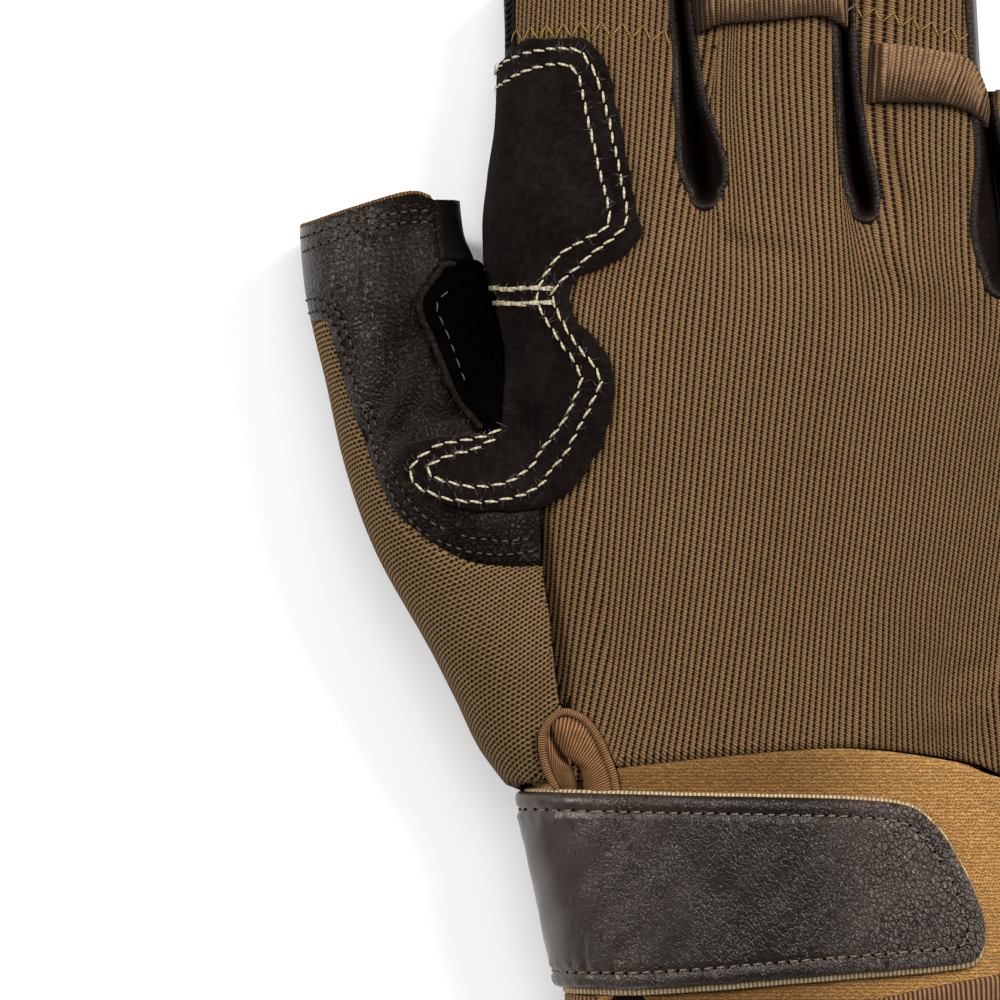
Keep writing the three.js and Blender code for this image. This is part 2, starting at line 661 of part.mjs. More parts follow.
glove.add(toMesh('wrist_strap', strap, darkLeather, 0.5));

export default glove;
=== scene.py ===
import math
import bmesh
import bpy
import numpy as np
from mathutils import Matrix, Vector


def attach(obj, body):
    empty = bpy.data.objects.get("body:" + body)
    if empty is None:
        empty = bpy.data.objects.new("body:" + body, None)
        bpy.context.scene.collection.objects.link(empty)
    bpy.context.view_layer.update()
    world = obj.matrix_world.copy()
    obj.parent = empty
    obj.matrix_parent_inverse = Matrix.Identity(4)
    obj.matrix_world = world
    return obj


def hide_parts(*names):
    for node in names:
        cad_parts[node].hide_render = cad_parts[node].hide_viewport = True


# A climbing glove in cloth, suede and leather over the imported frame. Lengths are millimetres until a mesh
# is made, +Z is up, +Y points to the fingertips, and the thumb is on the -X side.
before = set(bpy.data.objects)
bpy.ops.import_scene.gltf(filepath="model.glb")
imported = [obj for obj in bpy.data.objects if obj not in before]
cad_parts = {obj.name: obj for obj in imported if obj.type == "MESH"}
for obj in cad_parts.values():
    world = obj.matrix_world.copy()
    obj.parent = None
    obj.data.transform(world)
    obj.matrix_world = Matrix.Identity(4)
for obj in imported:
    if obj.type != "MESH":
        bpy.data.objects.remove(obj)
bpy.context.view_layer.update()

MM = 0.001
BREADTH, LENGTH = 101.0, 185.0
PALM_HIGH, FINGER_HIGH, THUMB_HIGH = 33.0, 25.0, 29.0
PX = 6.0          # picture units to a millimetre
PX_X, PX_Y = 800.0, 500.0   # where the origin is in the picture


def px(points):
    """Places in plan of points in the picture"""
    p = np.asarray(points, float)
    return np.column_stack([(p[:, 0] - PX_X) / PX, (PX_Y - p[:, 1]) / PX])


def shares(points):
    """Places in plan of points given in shares of the glove's breadth and length"""
    return np.asarray(points, float) * [BREADTH, LENGTH]


def unit(v):
    return v / np.maximum(np.linalg.norm(v, axis=-1, keepdims=True), 1e-9)


# ---------------------------------------------------------------- form: the same tables as the solids
def rows_of(rows, high):
    """A tube's stations: along, left side, right side, top and underside, from shares of the glove's sizes"""
    return np.array(rows, float) * [LENGTH, BREADTH, BREADTH, high, high]


PALM = rows_of([
    (-.53, -.368, .374, .82, .07), (-.486, -.372, .378, .84, .08), (-.432, -.381, .385, .88, .1),
    (-.368, -.405, .388, .92, .11), (-.265, -.441, .398, .96, .09), (-.176, -.431, .43, 1, .01),
    (-.11, -.44, .457, 1.01, 0), (-.03, -.455, .482, 1.01, 0), (.06, -.475, .496, 1, 0),
    (.13, -.485, .502, .975, 0), (.19, -.492, .503, .93, 0), (.235, -.503, .503, .875, 0), (.27, -.503, .5, .8, 0),
], PALM_HIGH)
INDEX = rows_of([
    (.12, -.44, -.16, .8, .03), (.24, -.503, -.155, 1.03, 0), (.29, -.502, -.16, 1, 0),
    (.34, -.49, -.172, .95, 0), (.41, -.487, -.19, .9, 0), (.468, -.49, -.208, .86, 0)], FINGER_HIGH)
MIDDLE = rows_of([
    (.12, -.17, .1, .84, 0), (.24, -.165, .108, 1.12, 0), (.29, -.158, .1, 1.08, 0),
    (.35, -.178, .084, 1.02, 0), (.41, -.194, .075, .97, 0), (.514, -.2, .066, .9, 0)], FINGER_HIGH)
RING = rows_of([
    (.1, .1, .32, .8, 0), (.22, .1, .315, 1.06, 0), (.29, .096, .31, 1, 0),
    (.35, .085, .302, .95, 0), (.41, .075, .296, .9, 0), (.474, .069, .286, .86, 0)], FINGER_HIGH)
PINKY = rows_of([
    (.06, .3, .44, .62, .03), (.18, .305, .502, .86, 0), (.26, .312, .505, .8, 0),
    (.32, .307, .505, .76, 0), (.37, .298, .5, .72, 0)], FINGER_HIGH)
THUMB = rows_of([
    (-.262, -.47, -.29, .76, .12), (-.225, -.528, -.3, .88, .08),
    (-.18, -.569, -.3, .95, .02), (-.135, -.611, -.31, .99, 0), (-.048, -.7, -.36, 1, 0),
    (.027, -.75, -.42, .985, 0), (.108, -.784, -.49, .95, 0), (.18, -.815, -.535, .9, 0),
    (.243, -.827, -.556, .84, 0), (.3, -.83, -.567, .78, 0)], THUMB_HIGH)
INDEX_END, MIDDLE_END, RING_END, PINKY_END = 86.6, 95.0, 87.7, 68.5      # the fingers' cut ends
# the ends from the little finger to the index finger; the steps lie inside the slots
FINGER_ENDS = np.array([(30.6, PINKY_END), (29.4, PINKY_END), (29.4, RING_END), (6.9, RING_END), (6.9, MIDDLE_END),
                        (-20.5, MIDDLE_END), (-20.5, INDEX_END)])

# a slot's stations: along, middle, half the width between its rims
SLOTS = {
    "index": [(.276, -.156, .012), (.29, -.158, .023), (.305, -.162, .025), (.335, -.172, .018),
              (.36, -.181, .011), (.409, -.19, .005), (.54, -.212, .004)],
    "middle": [(.262, .107, .008), (.278, .102, .013), (.31, .09, .012), (.36, .08, .006),
               (.409, .074, .004), (.54, .064, .004)],
    "ring": [(.2, .335, .02), (.235, .333, .036), (.27, .328, .03), (.31, .318, .014),
             (.36, .303, .005), (.50, .289, .004)],
}
RIM = 1.45            # from a slot's edge to the cut of the knit
VENT_CUT = 1.25       # the same for the vent
VENT = [(-.193, -.384, .004), (-.204, -.38, .028), (-.217, -.378, .042), (-.239, -.365, .048),
        (-.26, -.351, .042), (-.29, -.322, .01), (-.357, -.302, .006), (-.436, -.287, .006),
        (-.451, -.286, .019), (-.52, -.286, .05)]

# big folds of the hand: across, along, reach, width, turn, rise
FOLDS = [
    (-.1, .226, .12, .022, -14, -.035), (.15, .23, .02, .08, 0, -.045), (.2, .2, .14, .05, -24, .035),
    (.22, -.19, .13, .04, 12, .03), (.3, -.15, .16, .03, 35, -.03), (-.44, -.06, .03, .12, 8, -.045),
    (-.7, .08, .03, .12, 20, -.035), (-.33, .19, .1, .03, 25, -.035),
]


def curve(rows, column, y):
    """Catmull-Rom blend of one column of a table"""
    ys, vs = rows[:, 0], rows[:, column]
    n = len(ys)
    up = np.minimum(np.arange(n) + 1, n - 1)
    down = np.maximum(np.arange(n) - 1, 0)
    slope = (vs[up] - vs[down]) / (ys[up] - ys[down])
    i = np.clip(np.searchsorted(ys, y) - 1, 0, n - 2)
    step = ys[i + 1] - ys[i]
    t = np.clip((y - ys[i]) / step, 0, 1)
    return ((2 * t**3 - 3 * t**2 + 1) * vs[i] + (t**3 - 2 * t**2 + t) * slope[i] * step
            + (3 * t**2 - 2 * t**3) * vs[i + 1] + (t**3 - t**2) * slope[i + 1] * step)


def fold_rise(x, y):
    rise = np.zeros_like(x)
    for across, along, reach, width, turn, high in FOLDS:
        c, s = math.cos(math.radians(turn)), math.sin(math.radians(turn))
        dx, dy = x - across * BREADTH, y - along * LENGTH
        run = (dx * c + dy * s) / (reach * BREADTH)
        side = (dy * c - dx * s) / (width * BREADTH)
        rise += high * PALM_HIGH * np.exp(-run * run - side * side)
    return rise


def sections(rows, y, fade):
    """What the field needs of one tube at each y. fade is (start, end, how fast it sinks past them)."""
    left, right, top, base = (curve(rows, k, y) for k in (1, 2, 3, 4))
    middle = (top + base) * 0.44
    beyond = np.maximum(fade[0] - y, 0) + np.maximum(y - fade[1], 0)
    return (left + right) / 2, (right - left) / 2, middle, top, base, beyond * fade[2]


def tube_field(s, x, z, rise):
    centre, half, middle, top, base, sunk = s
    u = np.abs(x - centre) / half
    share = np.clip((z - middle) / (top - middle), 0, 1)
    v = np.maximum(z - rise * share - middle, 0) / (top - middle)
    w = np.maximum(middle - z, 0) / ((middle - base) * 1.07)
    upper = (u ** 2.3 + v ** 2.6) ** (1 / 2.45)
    lower = (u ** 3.6 + w ** 3.6) ** (1 / 3.6)
    d = (np.where(z >= middle, upper, lower) - 1) * np.minimum(half, top - middle)
    return np.maximum(d, base - z) + sunk


def smooth_min(a, b, k):
    h = np.maximum(k - np.abs(a - b), 0) / k
    return np.minimum(a, b) - h * h * k / 4


HAND = [(PALM, (-999, 40, .16), 3.0), (INDEX, (22, 999, 1), 3.0), (MIDDLE, (22, 999, 1), 2.5),
        (RING, (18, 999, 1), 2.5), (PINKY, (11, 999, 1), 2.5)]
THUMB_TUBE = (THUMB, (-47.5, 999, 2.0), 5.0)


REACH, HALVINGS = 75.0, 19      # how far a ray is followed, and how often its stretch is halved


def surface(tubes, ox, oz, dx, dz, y):
    """Where rays in planes across the glove leave the joined tubes"""
    ox, oz, dx, dz, yy = (np.broadcast_to(v, np.shape(y)).ravel().astype(float) for v in (ox, oz, dx, dz, y))
    parts = [(sections(rows, yy, fade), k) for rows, fade, k in tubes]
    low, high = np.zeros_like(yy), np.full_like(yy, REACH)
    for _ in range(HALVINGS):
        t = (low + high) / 2
        x, z = ox + dx * t, oz + dz * t
        rise = fold_rise(x, yy)
        d = None
        for s, k in parts:
            e = tube_field(s, x, z, rise)
            d = e if d is None else smooth_min(d, e, k)
        inside = np.maximum(d, -z) < 0
        low, high = np.where(inside, t, low), np.where(inside, high, t)
    t = (low + high) / 2
    return np.column_stack([ox + dx * t, yy, oz + dz * t])


class Chart:
    """Flat coordinates on the glove. a is X over the top and an arc length round the sides, and runs on along
    the underside; side is 1 for a chart from the top and -1 for one from the underside."""

    def __init__(self, tubes, left, right, radius=12.0, z0=12.5, side=1):
        self.tubes, self.left, self.right = tubes, left, right
        self.radius, self.z0, self.side = radius, z0, side

    def points(self, a, y):
        a, y = np.broadcast_arrays(np.asarray(a, float), np.asarray(y, float))
        shape = a.shape
        a, y = a.ravel(), y.ravel()
        r = self.radius
        xl, xr = self.left(y) + r, self.right(y) - r
        wide = xr - xl
        around = np.pi * r
        t = a - xl
        whole = 2 * wide + 2 * around
        t = np.where(t < -around, t + whole, t)
        ox, ang = np.empty_like(a), np.empty_like(a)
        top = (t >= 0) & (t <= wide)
        right = (t > wide) & (t <= wide + around)
        under = (t > wide + around) & (t < 2 * wide + around)
        left = ~(top | right | under)
        ox[top], ang[top] = (xl + t)[top], 0
        ox[right], ang[right] = xr[right], ((t - wide) / r)[right]
        ox[under], ang[under] = (xr - (t - wide - around))[under], np.pi
        ox[left] = xl[left]
        ang[left] = np.where(t < 0, t / r, (t - whole) / r)[left]
        dz = np.cos(ang) * self.side
        z0 = self.z0(y) if callable(self.z0) else self.z0
        return surface(self.tubes, ox, z0, np.sin(ang), dz, y).reshape(shape + (3,))

    def frame(self, a, y, e=0.25):
        """Points and outward unit normals"""
        a, y = np.broadcast_arrays(np.asarray(a, float), np.asarray(y, float))
        p = self.points(a, y)
        pa = self.points(a + e, y) - self.points(a - e, y)
        py = self.points(a, y + e) - self.points(a, y - e)
        return p, unit(np.cross(pa, py) * self.side)

    def flatten(self, plan):
        """Flat coordinates of places seen from above; past the glove's edge they run on round its side"""
        plan = np.asarray(plan, float)
        out = plan.copy()
        steps = 28
        for side in (-1, 1):
            edge = self.left(plan[:, 1]) if side < 0 else self.right(plan[:, 1])
            start = edge - side * self.radius
            a = start[:, None] + side * np.linspace(0, self.radius * 1.75, steps)[None]
            x = self.points(a, np.repeat(plan[:, 1:2], steps, 1))[..., 0]
            for k, xp in enumerate(plan[:, 0]):
                if side * (xp - start[k]) <= 0:
                    continue
                run = np.maximum.accumulate(side * x[k])
                last = int(np.argmax(run >= run[-1] - 1e-6))
                if side * xp >= run[last]:
                    out[k, 0] = a[k, last] + (xp - side * run[last])
                else:
                    out[k, 0] = np.interp(side * xp, run[:last + 1], a[k, :last + 1])
        return out


def hand_left(y):
    return np.where(y > 50, curve(INDEX, 1, y), curve(PALM, 1, y))


def hand_right(y):
    return np.where(y > 33, curve(PINKY, 2, y), curve(PALM, 2, y))


def thumb_left(y):
    return np.where(y < -48.5, curve(PALM, 1, y), curve(THUMB, 1, y))


def palm_left(y):
    return curve(PALM, 1, y)


def far_right(y):
    return np.full_like(y, 200.0)


ALL = HAND + [THUMB_TUBE]
hand = Chart(HAND, hand_left, hand_right)
wrist = Chart([HAND[0]], palm_left, hand_right)
left_part = Chart(ALL, thumb_left, far_right)
thumb_only, thumb_under = (Chart([THUMB_TUBE], lambda y: curve(THUMB, 1, y), lambda y: curve(THUMB, 2, y),
                                 radius=10.0, side=side) for side in (1, -1))

SEAM_TURN = 1.87      # how far round from the top the side seam lies


# ---------------------------------------------------------------- outlines
def smooth_line(points, steps=6, closed=False):
    """A Catmull-Rom line through points"""
    p = np.asarray(points, float)
    p = np.vstack([p[-1], p, p[0], p[1]] if closed else [2 * p[0] - p[1], p, 2 * p[-1] - p[-2]])
    t = np.linspace(0, 1, steps, endpoint=False)[:, None]
    out = []
    for a, b, c, d in zip(p, p[1:], p[2:], p[3:]):
        out.append(0.5 * (2 * b + (c - a) * t + (2 * a - 5 * b + 4 * c - d) * t**2 + (3 * b - a - 3 * c + d) * t**3))
    out = np.vstack(out)
    return out if closed else np.vstack([out, p[-2]])


def run_along(line):
    """Lengths from a line's start to each of its points"""
    return np.concatenate([[0], np.cumsum(np.linalg.norm(np.diff(line, axis=0), axis=1))])


def resample_to(line, count):
    """As many points as asked for, evenly along a line"""
    run = run_along(line)
    at = np.linspace(0, run[-1], count)
    return np.column_stack([np.interp(at, run, column) for column in line.T])


def resample(line, step, closed=False):
    """Points at even steps along a line"""
    line = np.asarray(line, float)
    if closed:
        line = np.vstack([line, line[:1]])
    out = resample_to(line, max(int(round(run_along(line)[-1] / step)), 1) + 1)
    return out[:-1] if closed else out


def channel(rows, grow, top=None, steps=10):
    """Outline of a slot: up its right side, down its left, with a round tip at the first row"""
    t = np.array(rows, float) * [LENGTH, BREADTH, BREADTH]
    tip_last = t[0, 0] > t[-1, 0]
    if tip_last:
        t = t[::-1]
    y = [np.linspace(a, b, steps, endpoint=False) for a, b in zip(t[:-1, 0], t[1:, 0])]
    y = np.concatenate(y + [[t[-1, 0]]])
    if top is not None:
        y = np.append(y[y < top], top)
    centre, half = curve(t, 1, y), curve(t, 2, y) + grow
    right, left = np.column_stack([centre + half, y]), np.column_stack([centre - half, y])[::-1]
    tip, turn = (-1, np.linspace(0, np.pi, 9)) if tip_last else (0, np.linspace(np.pi, 2 * np.pi, 11))
    turn = turn[1:-1]
    cap = [centre[tip], y[tip]] + half[tip] * np.column_stack([np.cos(turn), np.sin(turn)])
    return np.vstack([right, cap, left] if tip_last else [cap, right, left])


def inside(points, outline):
    """Which points lie inside a closed outline"""
    x, y = points[:, 0][:, None], points[:, 1][:, None]
    a, b = outline, np.roll(outline, -1, 0)
    ok = (a[:, 1][None] > y) != (b[:, 1][None] > y)
    dy = b[:, 1] - a[:, 1]
    dy = np.where(dy == 0, 1e-12, dy)
    at = a[:, 0][None] + (y - a[:, 1][None]) * ((b[:, 0] - a[:, 0]) / dy)[None]
    return (np.sum(ok & (x < at), axis=1) % 2) == 1


def nearest(points, outlines):
    """Nearest places on closed outlines, and how far they are"""
    best, where = np.full(len(points), 1e9), points.copy()
    for a in outlines:
        ab = np.roll(a, -1, 0) - a
        for start in range(0, len(points), 4000):       # in lots, to save memory
            p = points[start:start + 4000]
            t = ((p[:, None] - a[None]) * ab[None]).sum(-1) / np.maximum((ab * ab).sum(-1), 1e-12)[None]
            q = a[None] + np.clip(t, 0, 1)[..., None] * ab[None]
            d = np.linalg.norm(p[:, None] - q, axis=-1)
            k = (np.arange(len(p)), d.argmin(1))
            closer = d[k] < best[start:start + 4000]
            best[start:start + 4000][closer] = d[k][closer]
            where[start:start + 4000][closer] = q[k][closer]
    return where, best


# ---------------------------------------------------------------- meshes
LIE = 0.8             # below this height the glove is pressed flat on the table


def new_object(name, verts, faces, uvs=None, material=None):
    mesh = bpy.data.meshes.new(name)
    verts = np.array(verts, float)
    if name != "floor":
        # the glove's own weight flattens what would lie below the table's top
        low = np.minimum(verts[:, 2] - LIE, 0)
        verts[:, 2] = np.where(low < 0, LIE * np.exp(low / LIE), verts[:, 2])
    mesh.from_pydata((verts * MM).tolist(), [], [list(map(int, f)) for f in faces])
    if uvs is not None:
        layer = mesh.uv_layers.new(name="flat")
        corner = np.empty(len(mesh.loops), int)
        mesh.loops.foreach_get("vertex_index", corner)
        layer.data.foreach_set("uv", np.asarray(uvs, float)[corner].ravel())
    mesh.polygons.foreach_set("use_smooth", np.ones(len(mesh.polygons), bool))
    mesh.validate()
    mesh.update()
    obj = bpy.data.objects.new(name, mesh)
    bpy.context.scene.collection.objects.link(obj)
    mesh.materials.append(material)
    return obj


def corners_kept(keep):
    """How many of the kept cells of a grid meet at each of its points"""
    pad = np.pad(keep.astype(int), 1)
    return pad[1:, 1:] + pad[:-1, 1:] + pad[1:, :-1] + pad[:-1, :-1]


def grid_shell(points, normals, keep, low, high, bulge, uv):
    """A closed thin shell on a grid of points: two faces and a rim round what is kept"""
    used = corners_kept(keep) > 0
    index = np.full(used.shape, -1)
    index[used] = np.arange(used.sum())
    outer, inner = ((points + normals * np.broadcast_to(at, used.shape)[..., None])[used] for at in (high, low))
    n = len(outer)
    i, j = np.nonzero(keep)
    quads = np.column_stack([index[i, j], index[i, j + 1], index[i + 1, j + 1], index[i + 1, j]])
    faces = [quads, quads[:, ::-1] + n]
    pad = np.pad(keep, 1)
    below, above, before, after = pad[:-1, 1:-1], pad[1:, 1:-1], pad[1:-1, :-1], pad[1:-1, 1:]
    edges = []
    for border, (i0, j0), (i1, j1) in ((above & ~below, (0, 0), (0, 1)), (below & ~above, (0, 1), (0, 0)),
                                       (after & ~before, (1, 0), (0, 0)), (before & ~after, (0, 0), (1, 0))):
        i, j = np.nonzero(border)
        edges.append(np.column_stack([index[i + i0, j + j0], index[i + i1, j + j1]]))
    a, b = np.vstack(edges).T
    verts, uvs = [outer, inner], [uv[used], uv[used]]
    if bulge:
        rim = np.unique([a, b])
        away = np.zeros((n, 3))
        side = unit(np.cross(outer[b] - outer[a], normals[used][a]))
        np.add.at(away, a, side)
        np.add.at(away, b, side)
        mid = np.full(n, -1)
        mid[rim] = 2 * n + np.arange(len(rim))
        verts.append((outer[rim] * .5 + inner[rim] * .5) + unit(away)[rim] * bulge)
        uvs.append(uv[used][rim])
        faces += [np.column_stack([b, a, mid[a], mid[b]]), np.column_stack([mid[b], mid[a], a + n, b + n])]
    else:
        faces.append(np.column_stack([b, a, a + n, b + n]))
    return np.vstack(verts), np.vstack(faces), np.vstack(uvs)


def gradient_normals(p, side=1):
    return unit(np.cross(np.gradient(p, axis=1), np.gradient(p, axis=0)) * side)


def biggest(keep):
    """The largest joined group of cells"""
    label = np.where(keep, np.arange(1, keep.size + 1).reshape(keep.shape), 0)
    while True:
        pad = np.pad(label, 1)
        new = np.max([label, pad[:-2, 1:-1], pad[2:, 1:-1], pad[1:-1, :-2], pad[1:-1, 2:]], axis=0)
        new = np.where(keep, new, 0)
        if (new == label).all():
            break
        label = new
    names, count = np.unique(label[keep], return_counts=True)
    return label == names[count.argmax()]


def cut_panel(chart, a, y, outline, holes, low, high, bulge, relief, uv, snap):
    """A thin closed panel on a warped grid of flat coordinates, cut to an outline with holes. Border points
    nearer than snap to the outline or a hole move onto it."""
    def centre(grid):
        return ((grid[:-1, :-1] + grid[1:, :-1] + grid[:-1, 1:] + grid[1:, 1:]) / 4).ravel()

    centres = np.column_stack([centre(a), centre(y)])
    keep = inside(centres, outline)
    for hole in holes:
        keep &= ~inside(centres, hole)
    keep = biggest(keep.reshape(a.shape[0] - 1, a.shape[1] - 1))
    count = corners_kept(keep)
    border = (count > 0) & (count < 4)
    pts = np.column_stack([a[border], y[border]])
    to, dist = nearest(pts, [outline, *holes])
    pts[dist < snap] = to[dist < snap]
    a, y = a.copy(), y.copy()
    a[border], y[border] = pts[:, 0], pts[:, 1]
    # cells that the snapping turned inside out are left out
    area = ((a[1:, 1:] - a[:-1, :-1]) * (y[1:, :-1] - y[:-1, 1:])
            - (y[1:, 1:] - y[:-1, :-1]) * (a[1:, :-1] - a[:-1, 1:])) / 2
    keep &= area / np.median(area[keep]) > .04
    # one more point all round, for the slopes at the border
    used = corners_kept(keep) > 0
    grown = used.copy()
    grown[1:] |= used[:-1]
    grown[:-1] |= used[1:]
    grown[:, 1:] |= grown[:, :-1]
    grown[:, :-1] |= grown[:, 1:]
    p = np.zeros(a.shape + (3,))
    p[grown] = chart.points(a[grown], y[grown])
    n = gradient_normals(p, chart.side)
    if relief is not None:
        p = p + n * relief[..., None]
    return grid_shell(p, n, keep, low, high, bulge, uv)


def box_grid(outline, step):
    lo, hi = outline.min(0) - 0.6 * step, outline.max(0) + 0.6 * step
    count = np.ceil((hi - lo) / step).astype(int) + 1
    return np.meshgrid(*(np.linspace(lo[k], hi[k], count[k]) for k in (0, 1)))


def sweep(rings):
    """Vertices and faces of a closed tube through rings of corners, (path, corner, 3)"""
    m, k = rings.shape[:2]
    idx = np.arange(m * k).reshape(m, k)
    cur, nxt = idx[:-1], idx[1:]
    quads = np.stack([cur, nxt, np.roll(nxt, -1, 1), np.roll(cur, -1, 1)], -1).reshape(-1, 4)
    return rings.reshape(-1, 3), quads.tolist() + [idx[0].tolist(), idx[-1][::-1].tolist()]


def tube_rings(centre, side, up, radius, sides, flat=1.0):
    """Rings of corners about centres, round or flattened along up"""
    turn = np.linspace(0, 2 * np.pi, sides, endpoint=False)[:, None]
    r = np.reshape(radius, np.shape(radius) + (1, 1))
    return (centre[..., None, :] + side[..., None, :] * (np.cos(turn) * r)
            + up[..., None, :] * (np.sin(turn) * r * flat))


def tube_map(run, sides):
    """The flat map of a tube's corners: along it, and once round it"""
    return np.column_stack([np.repeat(run, sides), np.tile(np.arange(sides) / sides, len(run))])


class Parts:
    """Vertices and faces gathered into one mesh"""

    def __init__(self):
        self.v, self.f, self.uv, self.n = [], [], [], 0

    def add(self, verts, faces, uvs=None):
        verts = np.asarray(verts, float)
        self.v.append(verts)
        if isinstance(faces, np.ndarray):
            faces = (faces + self.n).tolist()
        else:
            faces = [[i + self.n for i in f] for f in faces]
        self.f.extend(faces)
        self.uv.append(np.zeros((len(verts), 2)) if uvs is None else np.asarray(uvs, float))
        self.n += len(verts)

    def make(self, name, material):
        return new_object(name, np.vstack(self.v), self.f, np.vstack(self.uv), material)


# ---------------------------------------------------------------- materials
class Value:
    """A socket of a shader; sums and products of it add math nodes"""

    def __init__(self, shader, socket):
        self.shader, self.socket = shader, socket

    def math(self, op, *others, clamp=False):
        return self.shader.math(op, self, *others, clamp=clamp)

    def __add__(self, other):
        return self.math("ADD", other)

    def __radd__(self, other):
        return self.shader.math("ADD", other, self)

    def __sub__(self, other):
        return self.math("SUBTRACT", other)

    def __rsub__(self, other):
        return self.shader.math("SUBTRACT", other, self)

    def __mul__(self, other):
        return self.math("MULTIPLY", other)

    def __truediv__(self, other):
        return self.math("DIVIDE", other)

    def times(self, other):
        """A product held between 0 and 1"""
        return self.math("MULTIPLY", other, clamp=True)

    def fract(self):
        return self.math("FRACT")

    def from_half(self):
        return (self - 0.5).math("ABSOLUTE")

    def ramp(self, a, b, to_a=0.0, to_b=1.0):
        """Smooth step from a to b"""
        return self.shader.wire("ShaderNodeMapRange", (self, a, b, to_a, to_b), interpolation_type="SMOOTHSTEP")


class Shader:
    def __init__(self, name, roughness=0.8, specular=0.3, **sockets):
        self.mat = bpy.data.materials.new(name)
        self.mat.use_nodes = True
        self.tree = self.mat.node_tree
        self.bsdf = self.tree.nodes["Principled BSDF"]
        sockets = dict(Roughness=roughness, Specular_IOR_Level=specular, Specular_Tint=(1, .86, .76, 1), **sockets)
        for key, value in sockets.items():
            self.bsdf.inputs[key.replace("_", " ")].default_value = value

    def put(self, socket, value):
        if isinstance(value, Value):
            self.tree.links.new(value.socket, socket)
        elif isinstance(value, (tuple, list)) and len(value) == 3 and len(socket.default_value) == 4:
            socket.default_value = (*value, 1)
        else:
            socket.default_value = value

    def wire(self, kind, inputs, output=0, **settings):
        """A new node's output. inputs are its sockets' values in order, or by name."""
        node = self.tree.nodes.new(kind)
        for key, value in settings.items():
            setattr(node, key, value)
        for key, value in inputs.items() if isinstance(inputs, dict) else enumerate(inputs):
            self.put(node.inputs[key], value)
        return Value(self, node.outputs[output])

    def math(self, op, a, b=0.0, c=0.0, clamp=False):
        return self.wire("ShaderNodeMath", (a, b, c), operation=op, use_clamp=clamp)

    def mix(self, share, a, b):
        return self.wire("ShaderNodeMix", {0: share, 6: a, 7: b}, 2, data_type="RGBA")

    def flat(self):
        """The flat map in millimetres, as two numbers and as a place"""
        flat = self.wire("ShaderNodeUVMap", (), uv_map="flat")
        u = self.wire("ShaderNodeSeparateXYZ", (flat,))
        return u, Value(self, u.socket.node.outputs[1]), flat

    def place(self):
        return self.wire("ShaderNodeTexCoord", (), "Object")

    def vector(self, x, y):
        return self.wire("ShaderNodeCombineXYZ", (x, y))

    def noise(self, vector, scale, detail=2.0, rough=0.5, distortion=0.0, output=0):
        return self.wire("ShaderNodeTexNoise", {"Vector": vector, "Scale": scale, "Detail": detail,
                                                "Roughness": rough, "Distortion": distortion}, output)

    def cells(self, vector, scale, feature="DISTANCE_TO_EDGE"):
        return self.wire("ShaderNodeTexVoronoi", {"Vector": vector, "Scale": scale}, "Distance", feature=feature)

    def finish(self, colour, height=None, depth=0.0, strength=1.0):
        """Sets the colour and a bump of the height, depth millimetres deep, and gives the material"""
        self.put(self.bsdf.inputs["Base Color"], colour)
        if height is not None:
            self.put(self.bsdf.inputs["Normal"], self.wire(
                "ShaderNodeBump", {"Strength": strength, "Distance": depth * MM, "Height": height}, "Normal"))
        return self.mat


def rib_knit(name, light, dark, pitch=1.1, hole=0.92, loop=0.46, depth=0.25, sheen=0.05, twist=0.6, groove_shade=0.74):
    """Ribbed knit. The flat map holds the rib's number and the length along it in millimetres."""
    s = Shader(name, 0.9, 0.08, Sheen_Weight=sheen, Sheen_Roughness=0.5, Sheen_Tint=(1, .8, .5, 1))
    u, v, _ = s.flat()
    place = s.place()
    across = u.fract()
    centre = across.from_half()                           # 0 on the rib, .5 in the groove
    start = ((u + 0.5).math("FLOOR") * 0.381).fract()     # where each groove's holes begin
    dv = ((v / hole + start).fract() - 0.5) * hole
    du = (0.5 - centre) * pitch
    holes = (du * (du * 1.3) + dv * dv).math("SQRT").ramp(0.16, 0.36, 1, 0)
    groove = centre.ramp(0.2, 0.48)
    loops = (v / loop + across * 1.15).fract().from_half().ramp(0.1, 0.46, 1, 0)
    # painted shade: the grooves between the ribs are darkened by groove_shade
    bright = (loops * twist + (1 - twist)) * (1.0 - groove * groove_shade)
    bright = bright * (0.45 + (s.noise(place, 45, 3, 0.6) * 0.35 + s.noise(place, 1100, 2, 0.6) * 0.75))
    bright = bright * (1.0 - holes * 0.96)
    # painted light: each rib is painted brighter along one side and darker along the other, as if lit from that side
    bright = bright.math("POWER", 1.35).times(across.ramp(0.3, 0.8, 0.78, 1.2))
    # yarns of slightly different browns
    hue = s.noise(place, 1500, 2, 0.7).ramp(0.38, 0.62)
    olive, rosy = (tuple(c * k for c, k in zip(light, tint)) for tint in ((0.94, 1.02, 0.95), (1.06, 0.96, 0.99)))
    return s.finish(s.mix(bright, dark, s.mix(hue, olive, rosy)), (1 - holes) * 0.6 + loops * 0.4, depth, 0.8)


